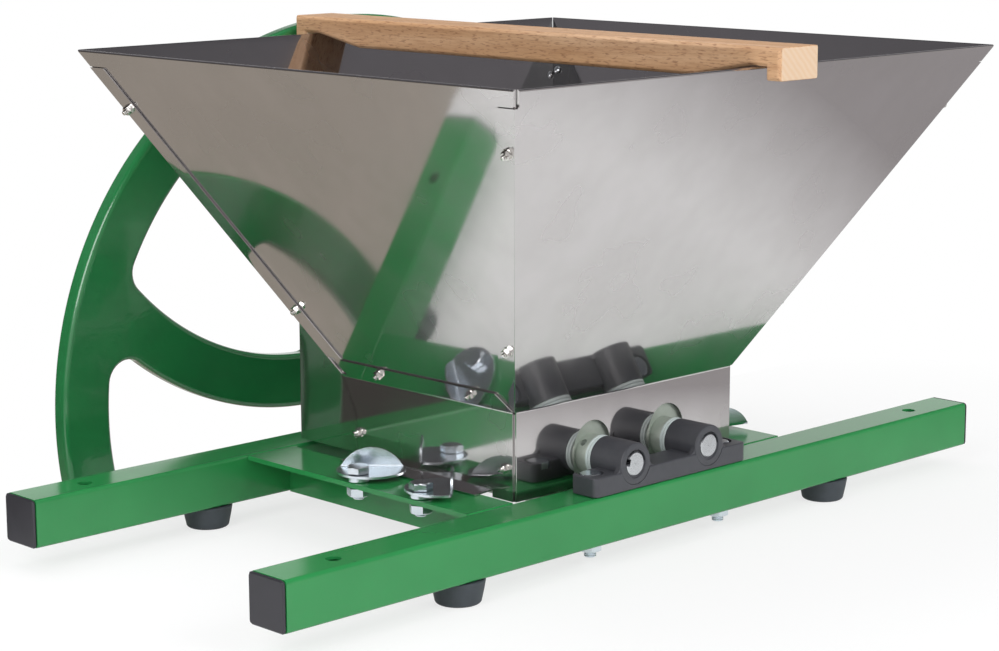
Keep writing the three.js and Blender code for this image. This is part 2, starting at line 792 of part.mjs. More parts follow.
sides.forEach(([side, s]) => {
  const upper = sidePath.slice(0, 2);
  const hemPath = pathBetween(sidePath, rimZ, hemLow);
  const plate = join(
    alongY(strip(upper, 0, sheet, toX(s))),
    alongY(strip(hemPath, sheet / 2, 2 * sheet, toX(s))),
  );
  place(scratter, `hopper_${side}_panel`, common(plate, insideLength(-seatGap)), 'stainless');
  place(scratter, `chamber_${side}_wall`, wallSolid(s), 'stainless');
  place(scratter, `side_deflector_${side}`, deflectorSolid(s), 'stainless');
});

// Gear guard: a folded U behind the chamber, closed above by the sloping back panel
const guardSolid = () => {
  const half = chamberHalfX + outerFace;
  const y0 = backWallY + sheet + seatGap;
  const path = [[-half, y0], [-half, guardBackY], [half, guardBackY], [half, y0]];
  const shell = polygon([
    ...path.map(([d, y]) => [hopperCentreX + d, y]),
    ...offsetLine(path, -sheet).reverse().map(([d, y]) => [hopperCentreX + d, y]),
  ]);
  const behind = offsetLine(backPath, sheet + seatGap).map(toY(1));
  const low = railTop + guardBottom;
  const room = polygon([behind[0], behind[1], [behind[2][0], low], [behind[0][0], low]]);
  return cut(
    common(extrude(shell, 'z', railTop, rimZ), alongX(room)),
    ...slotCutters(guardSlotRadius, 0, guardBackY - slotReach, guardBackY + slotReach),
  );
};
place(scratter, 'gear_guard', guardSolid(), 'stainless');

// Beech bar: legs hook over both rims, the underside tapers up to the seats
const barOutline = () => {
  const rimOut = rimHalfY + hemSheets * sheet + barLegGap;
  const seat = rimZ + seatGap;
  const low = seat - barDrop;
  const inner = rimHalfY - barSeat;
  return polygon([
    [hopperCentreY - rimOut - barLeg, low], [hopperCentreY - rimOut, low],
    [hopperCentreY - rimOut, seat], [hopperCentreY - inner, seat],
    [hopperCentreY - inner + barTaper, low], [hopperCentreY + inner - barTaper, low],
    [hopperCentreY + inner, seat], [hopperCentreY + rimOut, seat],
    [hopperCentreY + rimOut, low], [hopperCentreY + rimOut + barLeg, low],
    [hopperCentreY + rimOut + barLeg, low + barDepth], [hopperCentreY - rimOut - barLeg, low + barDepth],
  ]);
};
const barSides = [barCentreX - barWidth / 2, barCentreX + barWidth / 2];
const bar = extrude(barOutline(), 'x', ...barSides, { bevel: barEdge });
place(scratter, 'wooden_bar', toSolid(bar), 'beech');

// Clips: eccentric discs on shouldered bolts, one edge folded up as a finger grip
const clipSolid = (hand) => {
  const [cx, cy] = [clipOffset, hand * clipSide];
  const chordX = cx + clipChord;
  const open = Math.acos(clipChord / clipRadius);
  const flat = new THREE.Shape();
  flat.absarc(cx, cy, clipRadius, open, 2 * Math.PI - open, false);
  flat.closePath();
  const raised = new THREE.Shape();
  raised.absarc(cy, -clipChord, clipRadius, Math.PI / 2 - open, Math.PI / 2 + open, false);
  raised.closePath();
  return cut(
    join(
      extrude(flat, 'z', 0, clipThickness, { curveSegments: 10 }),
      extrude(raised, 'x', chordX - clipThickness, chordX, { curveSegments: 4 }),
    ),
    rod(clipShoulderRadius + boltGap / 2, -overrun, clipThickness + overrun, 'z', roundFacets),
  );
};

const clipPlateZ = railTop + clipCollar + 2 * seatGap;
const clipBoltSolid = () => {
  const headBase = clipPlateZ + clipThickness + seatGap;
  const nutTop = railTop - crossThickness - seatGap;
  return join(
    rod(clipCollarRadius, railTop + seatGap, railTop + seatGap + clipCollar, 'z', boltFacets),
    rod(clipShoulderRadius, railTop + seatGap + clipCollar / 2, headBase + overrun, 'z', boltFacets),
    extrude(hexagon(boltHeadAcross), 'z', headBase, headBase + boltHeadHeight),
    rod(boltRadius, nutTop - nutHeight - boltTail / 2, railTop + clipCollar, 'z', boltFacets),
    extrude(hexagon(boltHeadAcross), 'z', nutTop - nutHeight, nutTop),
  );
};

sides.forEach(([side, s]) => {
  [['front', clipFrontY, 1], ['back', clipBackY, -1]].forEach(([end, y, hand]) => {
    const x = clipBoltX(s);
    const turn = s < 0 ? -hand * degrees(clipAngleLeft) : Math.PI + hand * degrees(clipAngleRight);
    place(scratter, `clip_${end}_${side}`, clipSolid(-s * hand), 'zinc', [x, y, clipPlateZ], turn);
    place(scratter, `clip_bolt_${end}_${side}`, clipBoltSolid(), 'zinc', [x, y, 0]);
  });
});

// Flywheel: one flat plate with curved spokes; every window is eight arcs
const wheel = new THREE.Group();
wheel.position.set(driveX, 0, axleZ);
scratter.add(wheel);

const circlesMeet = ([ax, az, ar], [bx, bz, br]) => {
  const [dx, dz] = [bx - ax, bz - az];
  const distance = Math.hypot(dx, dz);
  const along = (distance ** 2 + ar ** 2 - br ** 2) / (2 * distance);
  const across = -Math.sqrt(ar ** 2 - along ** 2);
  return [
    ax + (along * dx - across * dz) / distance,
    az + (along * dz + across * dx) / distance,
  ];
};

const windowOutline = (turn) => {
  const pitch = 2 * Math.PI / spokeCount;
  const spokeCentre = (angle) => [
    -spokeStraight * Math.cos(angle) + spokeCurve * Math.sin(angle),
    spokeStraight * Math.sin(angle) + spokeCurve * Math.cos(angle),
  ];
  const near = spokeCentre(turn);
  const next = spokeCentre(turn + pitch);
  const upper = spokeCurve - spokeWidth / 2;
  const lower = spokeCurve + spokeWidth / 2;
  const rim = wheelRadius - wheelRim;
  const f = windowFillet;
  const corners = [
    circlesMeet([...near, upper - f], [0, 0, rim - f]),
    circlesMeet([...next, lower + f], [0, 0, rim - f]),
    circlesMeet([...next, lower + f], [0, 0, wheelHubRadius + f]),
    circlesMeet([...near, upper - f], [0, 0, wheelHubRadius + f]),
  ];
  const angle = (from, to) => Math.atan2(to[1] - from[1], to[0] - from[0]);
  const origin = [0, 0];
  const path = new THREE.Path();
  const fillet = (corner, start, end, clockwise) => path.absarc(...corner, f, start, end, clockwise);
  const [rimNear, rimNext, hubNext, hubNear] = corners;
  fillet(rimNear, angle(near, rimNear), angle(origin, rimNear), true);
  path.absarc(0, 0, rim, angle(origin, rimNear), angle(origin, rimNext), true);
  fillet(rimNext, angle(origin, rimNext), angle(rimNext, next), true);
  path.absarc(...next, lower, angle(next, rimNext), angle(next, hubNext), false);
  fillet(hubNext, angle(hubNext, next), angle(hubNext, origin), true);
  path.absarc(0, 0, wheelHubRadius, angle(origin, hubNext), angle(origin, hubNear), false);
  fillet(hubNear, angle(hubNear, origin), angle(near, hubNear), true);
  path.absarc(...near, upper, angle(near, hubNear), angle(near, rimNear), true);
  return path;
};

const crankAt = [crankRadius * Math.cos(degrees(crankAngle)), crankRadius * Math.sin(degrees(crankAngle))];
const wheelSolid = () => {
  const disc = turned([
    [0, 0], [wheelRadius - wheelEdge, 0], [wheelRadius, wheelEdge],
    [wheelRadius, wheelThickness - wheelEdge], [wheelRadius - wheelEdge, wheelThickness],
    [0, wheelThickness],
  ], 'y', wheelFacets);
  const windows = [];
  for (let i = 0; i < spokeCount; i += 1) {
    const points = windowOutline(i * 2 * Math.PI / spokeCount).curves.flatMap((arc) => (
      arc.getPoints(1 + Math.ceil(arc.getLength() / windowStep))
    ));
    windows.push(extrude(new THREE.Shape(distinct(points)), 'y', -overrun, wheelThickness + overrun));
  }
  const bossLength = bossFront + wheelThickness + bossBack;
  const keyTop = keyBase + keyHeight + seatGap;
  const boss = moved(rod(bossRadius, 0, bossLength, 'y', roundFacets), 0, -bossFront, 0);
  const bore = rod(shaftRadius + boltGap / 2, -overrun, bossLength + overrun);
  const crankBore = rod(crankPinRadius + boltGap, -overrun, wheelThickness + overrun, 'y', roundFacets);
  const half = keyWidth / 2 + seatGap;
  return cut(
    join(cut(disc, ...windows), boss),
    moved(bore, 0, -bossFront, 0),
    box(-half, half, -bossFront - overrun, bossLength, 0, keyTop),
    moved(crankBore, crankAt[0], 0, crankAt[1]),
  );
};
place(wheel, 'flywheel', wheelSolid(), 'darkGreenPaint', [0, wheelFront, 0]);

// Spacer, key and end bolt that hold the wheel on the drive shaft
const spacerFrom = blockBackY + seatGap;
const spacer = ring(shaftRadius + boltGap, spacerRadius, 0, wheelBossFront - seatGap - spacerFrom);
place(wheel, 'wheel_spacer', spacer, 'zinc', [0, spacerFrom, 0]);
const key = box(-keyWidth / 2, keyWidth / 2, 0, keyLength, keyBase, keyBase + keyHeight);
place(wheel, 'wheel_key', key, 'steel', [0, wheelBossFront + keyInset, 0]);
const retainer = join(
  rod(retainerRadius, 0, retainerThickness),
  extrude(hexagon(boltHeadAcross), 'y', retainerThickness / 2, retainerThickness + boltHeadHeight),
  rod(crankPinRadius, -retainerShank, overrun, 'y', boltFacets),
);
place(wheel, 'wheel_end_bolt', retainer, 'zinc', [0, wheelBossBack + seatGap, 0]);

// Crank: a long bolt through the end of a spoke, with a turned grip running on it
const gripStart = nutHeight + 2 * seatGap;
const crankPin = () => {
  const gripEnd = gripStart + gripLength + seatGap;
  const headTop = -wheelThickness - seatGap;
  return join(
    extrude(hexagon(boltHeadAcross), 'y', headTop - crankHeadHeight, headTop),
    rod(crankPinRadius, -wheelThickness - crankHeadHeight, gripEnd + overrun, 'y', roundFacets),
    extrude(hexagon(boltHeadAcross), 'y', seatGap, seatGap + nutHeight),
    turned([
      [0, gripEnd], [gripNeck - pinHeadInset, gripEnd], [gripNeck - pinHeadInset, gripEnd + pinHeadRim],
      [crankPinRadius, gripEnd + pinHeadShoulder], [0, gripEnd + pinHeadHeight],
    ], 'y', roundFacets),
  );
};

const gripGeometry = () => {
  const bore = crankPinRadius + boltGap;
  const profile = [[bore, 0]];
  for (let i = 0; i <= gripSteps; i += 1) {
    const along = i / gripSteps;
    const swell = Math.sin(Math.PI * Math.min(1, along / gripSwellEnd)) ** gripSwellPower;
    const swollen = gripNeck + (gripRadius - gripNeck) * swell;
    const radius = along > gripSwellEnd ? gripRadius * gripTail : swollen;
    const rounding = i === 0 || i === gripSteps ? gripRounding : 0;
    profile.push([Math.max(radius, gripNeck) - rounding, along * gripLength]);
  }
  profile.push([bore, gripLength], [bore, 0]);
  return turned(profile, 'y', roundFacets);
};
place(wheel, 'crank_pin', crankPin(), 'zinc', [crankAt[0], wheelBack, crankAt[1]]);
place(wheel, 'crank_grip', gripGeometry(), 'beech', [crankAt[0], wheelBack + gripStart, crankAt[1]]);

export default scratter;
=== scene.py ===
import json
import math
import random

import bmesh
import bpy
from mathutils import Matrix, Vector
from mathutils.geometry import tessellate_polygon

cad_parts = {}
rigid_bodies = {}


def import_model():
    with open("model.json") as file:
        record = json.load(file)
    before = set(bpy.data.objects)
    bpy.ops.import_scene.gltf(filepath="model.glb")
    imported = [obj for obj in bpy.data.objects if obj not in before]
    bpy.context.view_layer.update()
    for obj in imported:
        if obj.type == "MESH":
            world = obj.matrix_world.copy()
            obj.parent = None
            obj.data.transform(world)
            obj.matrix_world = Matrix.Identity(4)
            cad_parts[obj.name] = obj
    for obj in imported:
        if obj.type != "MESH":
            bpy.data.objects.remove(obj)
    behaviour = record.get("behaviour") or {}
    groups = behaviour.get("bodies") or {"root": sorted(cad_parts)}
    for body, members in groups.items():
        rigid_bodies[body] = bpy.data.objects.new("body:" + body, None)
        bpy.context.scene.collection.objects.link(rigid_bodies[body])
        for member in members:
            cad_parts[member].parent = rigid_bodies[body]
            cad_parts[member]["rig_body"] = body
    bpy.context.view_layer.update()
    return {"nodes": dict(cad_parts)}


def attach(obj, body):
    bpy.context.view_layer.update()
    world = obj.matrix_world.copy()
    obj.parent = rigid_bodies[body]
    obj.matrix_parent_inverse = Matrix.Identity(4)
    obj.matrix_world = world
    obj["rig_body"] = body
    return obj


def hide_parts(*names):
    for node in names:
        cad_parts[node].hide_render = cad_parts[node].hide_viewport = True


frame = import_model()
scene = bpy.context.scene
scene.view_settings.view_transform = "Standard"
random.seed(7)
mm = 0.001
print("frame loaded:", len(frame["nodes"]), "nodes")


# Helpers for meshes

def linkPiece(name, mesh):
    piece = bpy.data.objects.new(name, mesh)
    scene.collection.objects.link(piece)
    return piece


def meshFrom(name, bm, smoothAngle=32):
    # a mesh that shades smooth where its faces meet at less than the angle, in degrees
    mesh = bpy.data.meshes.new(name)
    bmesh.ops.recalc_face_normals(bm, faces=bm.faces)
    bm.to_mesh(mesh)
    bm.free()
    for face in mesh.polygons:
        face.use_smooth = True
    mesh.set_sharp_from_angle(angle=math.radians(smoothAngle))
    return mesh


def addPiece(name, bm, material, smoothAngle):
    piece = linkPiece(name, meshFrom(name, bm, smoothAngle))
    piece.data.materials.append(material)
    # keeps flat faces flat beside their rounded edges
    even = piece.modifiers.new("evenNormals", "WEIGHTED_NORMAL")
    even.keep_sharp = True
    even.weight = 80
    return piece


def dress(node, finish, bm, material, smoothAngle=34):
    # a finished piece in a CAD node's place, on the node's own body
    piece = addPiece(f"{node}_{finish}", bm, material, smoothAngle)
    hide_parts(node)
    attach(piece, frame["nodes"][node]["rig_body"])


def addDetail(name, bm, material, smoothAngle):
    # a piece that the CAD model leaves out, fixed to the frame
    piece = addPiece(name, bm, material, smoothAngle)
    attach(piece, "frame")
    return piece


def sharpEdges(bm, angle):
    return [e for e in bm.edges if len(e.link_faces) == 2 and e.calc_face_angle(0) > math.radians(angle)]


def bevelEdges(bm, edges, radius, segments):
    if edges:
        bmesh.ops.bevel(bm, geom=edges, offset=radius, offset_type="OFFSET", segments=segments,
                        profile=0.5, affect="EDGES", clamp_overlap=True)


def solidOf(node):
    # a clean copy of a CAD node's mesh, with its flat faces whole again
    bm = bmesh.new()
    source = frame["nodes"][node].data
    corners = [bm.verts.new(v.co) for v in source.vertices]
    for face in source.polygons:
        try:
            bm.faces.new([corners[i] for i in face.vertices])
        except ValueError:
            pass
    bmesh.ops.remove_doubles(bm, verts=bm.verts, dist=0.00002)
    bmesh.ops.dissolve_degenerate(bm, edges=bm.edges, dist=0.00001)
    bmesh.ops.dissolve_limit(bm, angle_limit=math.radians(0.6), verts=bm.verts, edges=bm.edges)
    return bm


def dressNode(node, material, edge, segments=2):
    # the CAD solid with rounded edges and a real finish
    bm = solidOf(node)
    bevelEdges(bm, sharpEdges(bm, 28), edge * mm, segments)
    dress(node, "finished", bm, material, smoothAngle=32)


def joinShells(*shells):
    whole = bmesh.new()
    for shell in shells:
        mesh = bpy.data.meshes.new("shell")
        shell.to_mesh(mesh)
        shell.free()
        whole.from_mesh(mesh)
        bpy.data.meshes.remove(mesh)
    return whole


def moveShell(bm, matrix):
    bmesh.ops.transform(bm, matrix=matrix, verts=bm.verts)
    return bm


def axisMatrix(position, direction=(0, 0, 1), spin=0.0):
    # puts a shell's own Z along a direction, in millimetres
    turn = Vector((0, 0, 1)).rotation_difference(Vector(direction).normalized()).to_matrix().to_4x4()
    return Matrix.Translation(Vector(position) * mm) @ turn @ Matrix.Rotation(spin, 4, "Z")


def alongY(shell, x, y, z, sign=1):
    # lays a shell that is turned about its own Z along Y
    return moveShell(shell, axisMatrix((x, y, z), (0, sign, 0)))


def upright(x, y, z):
    # lays a plate drawn as (x, z) into its plane, with its thickness along Y
    return Matrix(((1, 0, 0, x * mm), (0, 0, 1, y * mm), (0, 1, 0, z * mm), (0, 0, 0, 1)))


def around(count):
    # even steps round a circle of radius 1
    return [(math.cos(2 * math.pi * i / count), math.sin(2 * math.pi * i / count)) for i in range(count)]


def skinRows(bm, rows):
    # faces between closed rows of points; a row of one point is a tip
    for low, high in zip(rows, rows[1:]):
        count = max(len(low), len(high))
        for i in range(count):
            j = (i + 1) % count
            if len(low) == 1:
                bm.faces.new([low[0], high[j], high[i]])
            elif len(high) == 1:
                bm.faces.new([low[i], low[j], high[0]])
            else:
                bm.faces.new([low[i], low[j], high[j], high[i]])


# Helpers for shapes, all in millimetres

def rounding(radius, height, edge, steps=3, top=True):
    # the profile points of one rounded rim, going up into it or over it
    points = []
    for i in range(steps + 1):
        a = math.pi / 2 * i / steps
        if top:
            points.append((radius - edge * (1 - math.cos(a)), height - edge * (1 - math.sin(a))))
        else:
            points.append((radius - edge * (1 - math.sin(a)), height + edge * (1 - math.cos(a))))
    return points


def discProfile(radius, thick, footEdge, rimEdge):
    # the profile of a disc from the middle of its foot to its upper rim
    return [(0, 0)] + rounding(radius, 0, footEdge, top=False) + rounding(radius, thick, rimEdge)


def turnedShell(profile, segments=48):
    # turns a profile of (radius, height) about Z
    bm = bmesh.new()
    rows = []
    for radius, height in profile:
        corners = around(segments) if radius > 0 else [(0, 0)]
        rows.append([bm.verts.new((radius * mm * x, radius * mm * y, height * mm)) for x, y in corners])
    skinRows(bm, rows)
    return bm


def rodShell(radius, start, end, segments=48):
    return turnedShell([(0, start), (radius, start), (radius, end), (0, end)], segments)


def ringShell(bore, radius, length, edge, segments=72):
    # a ring or sleeve from height 0 to its length, its rims rounded outside and cut inside
    profile = [(bore, edge), (bore + edge, 0)] + rounding(radius, 0, edge, top=False)
    profile += rounding(radius, length, edge) + [(bore + edge, length), (bore, length - edge), (bore, edge)]
    return turnedShell(profile, segments)


def hexShell(across, height, crown=1.2, base=0.0):
    # a hexagon with its corners turned away at the top, and at the foot where base is over 0
    steps = 24
    sixth = math.pi / 6
    flat = across / 2
    corner = flat / math.cos(sixth)
    roundFace = flat * 1.01
    levels = [(0.93, 0, roundFace), (1, base, corner)] if base > 0 else [(1, 0, corner)]
    levels += [(1, height - crown, corner), (1, height - crown * 0.45, (flat + corner) / 2),
               (0.93, height, roundFace)]
    bm = bmesh.new()
    rows = []
    for scale, z, reach in levels:
        row = []
        for i, (x, y) in enumerate(around(steps)):
            toFlat = flat / math.cos((2 * math.pi * i / steps + sixth) % (2 * sixth) - sixth)
            r = min(toFlat, reach) * scale
            row.append(bm.verts.new((r * mm * x, r * mm * y, z * mm)))
        rows.append(row)
    skinRows(bm, rows)
    bm.faces.new(list(reversed(rows[0])))
    bm.faces.new(rows[-1])
    return bm


def threadShell(radius, length, pitch, tip=0.8):
    # thread cut as close rings: crest and root alternate
    profile = [(0, 0), (radius - tip, 0), (radius, tip)]
    height = tip
    while height + pitch < length:
        for up, depth in ((0.15, 1), (0.5, 0.87), (0.85, 1)):
            profile.append((radius * depth, height + pitch * up))
        height += pitch
    return turnedShell(profile + [(radius, length), (0, length)], 24)


def boxShell(x0, x1, y0, y1, z0, z1):
    bm = bmesh.new()
    bmesh.ops.create_cube(bm, size=1)
    bmesh.ops.scale(bm, vec=((x1 - x0) * mm, (y1 - y0) * mm, (z1 - z0) * mm), verts=bm.verts)
    middle = ((x0 + x1) / 2 * mm, (y0 + y1) / 2 * mm, (z0 + z1) / 2 * mm)
    bmesh.ops.translate(bm, vec=middle, verts=bm.verts)
    return bm


def arcPoints(x, y, radius, start, end, clockwise=False, stepMm=3.0):
    # points along an arc from one angle to another, in the sense given
    turn = (end - start) % (2 * math.pi)
    if clockwise:
        turn -= 2 * math.pi
    count = max(2, math.ceil(abs(turn) * radius / stepMm))
    angles = [start + turn * i / count for i in range(count + 1)]
    return [(x + radius * math.cos(a), y + radius * math.sin(a)) for a in angles]


def circleLoop(radius, count, clockwise=False):
    return [(radius * x, radius * (-y if clockwise else y)) for x, y in around(count)]


def spaced(points, least=0.05):
    # the loop without points that lie on the one before
    return [p for i, p in enumerate(points) if math.dist(p, points[i - 1]) > least]


def insetLoop(loop, distance):
    # moves a loop to its left, which is into the plate for an anticlockwise outline or a clockwise hole
    moved = []
    for i, point in enumerate(loop):
        before, after = loop[i - 1], loop[(i + 1) % len(loop)]
        normals = []
        for (ax, ay), (bx, by) in ((before, point), (point, after)):
            length = math.dist((ax, ay), (bx, by))
            normals.append(((ay - by) / length, (bx - ax) / length))
        nx, ny = normals[0][0] + normals[1][0], normals[0][1] + normals[1][1]
        reach = 2 * distance / (nx * nx + ny * ny)
        moved.append((point[0] + nx * reach, point[1] + ny * reach))
    return moved


def plateShell(loops, thickness, radius=0.0, steps=4):
    # a plate with rounded edges; the first loop is its outline and the others are holes
    bm = bmesh.new()
    stops = [(0.0, 0.0)]
    if radius > 0:
        angles = [i * math.pi / 2 / steps for i in range(steps + 1)]
        stops = [(radius * (1 - math.sin(a)), radius * (1 - math.cos(a))) for a in angles]
    levels = stops + [(inset, thickness - height) for inset, height in reversed(stops)]
    rings = []
    for loop in loops:
        rows = []
        for inset, height in levels:
            points = insetLoop(loop, inset) if inset else loop
            rows.append([bm.verts.new((x * mm, y * mm, height * mm)) for x, y in points])
        skinRows(bm, rows)
        rings.append(rows)
    for level in (0, -1):
        corners = [v for rows in rings for v in rows[level]]
        flat = [[Vector((v.co.x, v.co.y, 0)) for v in rows[level]] for rows in rings]
        for face in tessellate_polygon(flat):
            bm.faces.new([corners[i] for i in (face if level else reversed(face))])
    bmesh.ops.recalc_face_normals(bm, faces=bm.faces)
    return bm


def carved(shell, *cutters):
    # cuts the cutters out of a shell
    for cutter in cutters:
        piece = linkPiece("carving", meshFrom("carving", shell))
        tool = linkPiece("cutter", meshFrom("cutter", cutter))
        cutting = piece.modifiers.new("cut", "BOOLEAN")
        cutting.object = tool
        cutting.solver = "EXACT"
        bpy.context.view_layer.update()
        result = piece.evaluated_get(bpy.context.evaluated_depsgraph_get()).to_mesh()
        shell = bmesh.new()
        shell.from_mesh(result)
        for done in (piece, tool):
            mesh = done.data
            bpy.data.objects.remove(done)
            bpy.data.meshes.remove(mesh)
    bmesh.ops.remove_doubles(shell, verts=shell.verts, dist=0.00001)
    bmesh.ops.dissolve_limit(shell, angle_limit=math.radians(0.5), verts=shell.verts, edges=shell.edges)
    return shell


# Helpers for materials

def linear(hexValue):
    # sRGB hex to linear colour
    value = hexValue.lstrip("#")
    parts = [int(value[i:i + 2], 16) / 255 for i in (0, 2, 4)]
    return tuple(c / 12.92 if c <= 0.04045 else ((c + 0.055) / 1.055) ** 2.4 for c in parts) + (1.0,)


def addNode(tree, kind, props=None, **inputs):
    # adds one node and gives its outputs; inN names an input by number, other names use _ for a space
    node = tree.nodes.new("ShaderNode" + kind)
    for name, value in (props or {}).items():
        setattr(node, name, value)
    for name, value in inputs.items():
        numbered = name.startswith("in") and name[2:].isdigit()
        socket = node.inputs[int(name[2:])] if numbered else node.inputs[name.replace("_", " ")]
        if isinstance(value, bpy.types.NodeSocket):
            tree.links.new(value, socket)
        else:
            socket.default_value = value
    return node.outputs


def newMaterial(name):
    # an empty material, its nodes and the place on the piece that its patterns follow
    material = bpy.data.materials.new(name)
    material.use_nodes = True
    tree = material.node_tree
    tree.nodes.clear()
    return material, tree, addNode(tree, "TexCoord")["Object"]


def perMetre(sizeMm):
    # noise scale whose features are about this many millimetres across
    return 1000.0 / sizeMm


def layColours(tree, colour, layers):
    # each layer fades in between two values of a pattern, up to its share
    for pattern, start, full, over, share in layers:
        shown = addNode(tree, "MapRange", in0=pattern, in1=start, in2=full, in3=0.0, in4=share)
        colour = addNode(tree, "Mix", {"data_type": "RGBA"}, in0=shown[0], in6=colour, in7=over)[2]
    return colour


def makeFinish(name, look, **shaderInputs):
    # Colour and roughness drift with a cloud, or the roughness with a finer grain, between the two values
    # in contrast. Cloud and grain are size in mm, detail and noise roughness; bumps are size in mm, detail
    # and depth in mm
    material, tree, place = newMaterial(name)
    low, high = look.get("contrast", (0.0, 1.0))
    cloud, grain = (addNode(tree, "TexNoise", Vector=place, Scale=perMetre(sizeMm), Detail=detail,
                            Roughness=rough)[0]
                    for sizeMm, detail, rough in (look["cloud"], look.get("grain", look["cloud"])))
    colour = linear(look["colour"])
    base = colour
    if "second" in look:
        base = layColours(tree, colour, [(cloud, low, high, linear(look["second"]), 1.0)])
    smoothest, roughest = look["roughness"]
    roughness = addNode(tree, "MapRange", in0=grain, in1=low, in2=high, in3=smoothest, in4=roughest)[0]
    reliefs = []
    for sizeMm, detail, depthMm in look.get("bumps", ()):
        height = addNode(tree, "TexNoise", Vector=place, Scale=perMetre(sizeMm), Detail=detail)
        below = {"Normal": reliefs[-1]} if reliefs else {}
        reliefs.append(addNode(tree, "Bump", Strength=1.0, Distance=depthMm * mm,
                               Height=height[0], **below)[0])
    if reliefs:
        shaderInputs["Normal"] = reliefs[-1]
    if "Coat_Weight" in shaderInputs:
        # the clear top follows the coarsest relief only, so lamps break into short streaks on it
        shaderInputs["Coat_Normal"] = reliefs[0]
    surface = addNode(tree, "BsdfPrincipled", Base_Color=base, Roughness=roughness, **shaderInputs)[0]
    if "haze" in look:
        # a wider, weaker lobe over the mirror
        least, most = look["hazeShare"]
        share = addNode(tree, "MapRange", in0=cloud, in1=low, in2=high, in3=least, in4=most)
        haze = addNode(tree, "BsdfPrincipled", Metallic=1.0, Roughness=look["haze"],
                       Base_Color=colour, Normal=reliefs[-1])
        surface = addNode(tree, "MixShader", in0=share[0], in1=surface, in2=haze[0])[0]
    addNode(tree, "OutputMaterial", Surface=surface)
    return material


# Polyester powder coat on mild steel: an even bright green with a gloss that mirrors what lies close
powderCoat = makeFinish("powderCoatGreen", {
    "colour": "#2c8a4a", "second": "#247a40", "roughness": (0.14, 0.22), "cloud": (60, 2, 0.5),
    "grain": (1.2, 2, 0.5), "bumps": [(5.5, 1, 0.02)]}, IOR=1.52)

# Brushed-on gloss enamel over cast iron: darker, wavy, with bright streaks on the rounded edges
castEnamel = makeFinish("glossEnamelOnCastIron", {
    "colour": "#257f45", "second": "#1d6a39", "roughness": (0.16, 0.27), "cloud": (45, 3, 0.5),
    "bumps": [(7, 2, 0.12), (2.6, 2, 0.05)]}, IOR=1.52, Coat_Weight=0.7, Coat_Roughness=0.05)

# Cold-rolled stainless sheet, bright finish: nearly a mirror, with the faint haze that the rolls leave and
# a slow ripple
stainless = makeFinish("stainlessSheetBright", {
    "colour": "#d3d0d0", "second": "#cbc8c7", "roughness": (0.045, 0.075), "cloud": (60, 2, 0.5),
    "contrast": (0.3, 0.7), "bumps": [(190, 1, 0.16)], "haze": 0.32, "hazeShare": (0.12, 0.28)}, Metallic=1.0)

# Bright zinc plate on pressed steel: bluish white, a little cloudy
zinc = makeFinish("brightZincPlate", {
    "colour": "#e6edf3", "second": "#d6e0e8", "roughness": (0.18, 0.28), "cloud": (12, 3, 0.6),
    "bumps": [(9, 1, 0.01)]}, Metallic=1.0)

# Turned bright steel: pale grey, with the fine uneven gloss that the lathe leaves, drawn coarser than the
# real tool marks so that it shows
turnedSteel = makeFinish("turnedSteel", {
    "colour": "#d2d5d8", "roughness": (0.2, 0.36), "cloud": (0.9, 2, 0.5), "bumps": [(0.9, 2, 0.01)]},
    Metallic=1.0)

# Polished stainless screws: hard bright and dark bands that follow the nut and its thread
screwSteel = makeFinish("polishedScrewSteel", {
    "colour": "#dedcd8", "roughness": (0.06, 0.17), "cloud": (1.4, 2, 0.5)}, Metallic=1.0)

# Sand-cast aluminium, skimmed on the lathe: greenish grey and dull, with shallow pits
castAluminium = makeFinish("castAluminium", {
    "colour": "#cbd3c9", "second": "#b1bbb0", "roughness": (0.38, 0.58), "cloud": (16, 4, 0.6),
    "bumps": [(1.4, 3, 0.05)]}, Metallic=0.6)

# Moulded glass-filled nylon: near black, satin, with the spark texture of its mould, drawn coarser than
# the real grit so that it shows
mouldedNylon = makeFinish("mouldedGlassFilledNylon", {
    "colour": "#37383d", "second": "#4a4b50", "roughness": (0.37, 0.52), "cloud": (9, 3, 0.5),
    "bumps": [(0.9, 2, 0.035)]}, IOR=1.53)

# Moulded polyethylene: dark plum grey, softer gloss than the nylon, its texture drawn as coarse as needed
# to show
polyethylene = makeFinish("mouldedPolyethylene", {
    "colour": "#29282d", "second": "#36353b", "roughness": (0.45, 0.58), "cloud": (12, 3, 0.5),
    "bumps": [(0.7, 2, 0.03)]}, IOR=1.5)

# Moulded rubber: blue-black and dull
rubber = makeFinish("mouldedRubber", {
    "colour": "#2f3439", "second": "#444a50", "roughness": (0.54, 0.72), "cloud": (8, 4, 0.5),
    "bumps": [(1.1, 2, 0.04)]}, IOR=1.52)

# Turned natural nylon: milky and slightly see-through at the edges
naturalNylon = makeFinish("naturalNylon", {
    "colour": "#cfdadb", "second": "#c3cdc9", "roughness": (0.29, 0.42), "cloud": (6, 2, 0.5)},
    IOR=1.53, Subsurface_Weight=0.15, Subsurface_Radius=(0.002, 0.002, 0.002))

# Planed beech, oiled: tan with short darker ray flecks along the grain, which runs along Y, and rings on
# the end grain. The fibres are drawn coarser than real so that they show
beechLook = {"pale": "#d6b08d", "tan": "#c89c73", "dark": "#a5764d", "ray": "#85573a", "endPale": "#cfb69c",
             "roughness": (0.46, 0.64), "depthMm": 0.06, "fibreMm": 1.6, "figureMm": 22, "fleckMm": 1.3,
             "ringMm": 19.8, "endRingMm": 6.73, "fibreSquash": (1.0, 0.06, 1.0), "askew": (0.05, 0.0, 0.05),
             "fleckSquash": (1.0, 0.16, 1.0)}


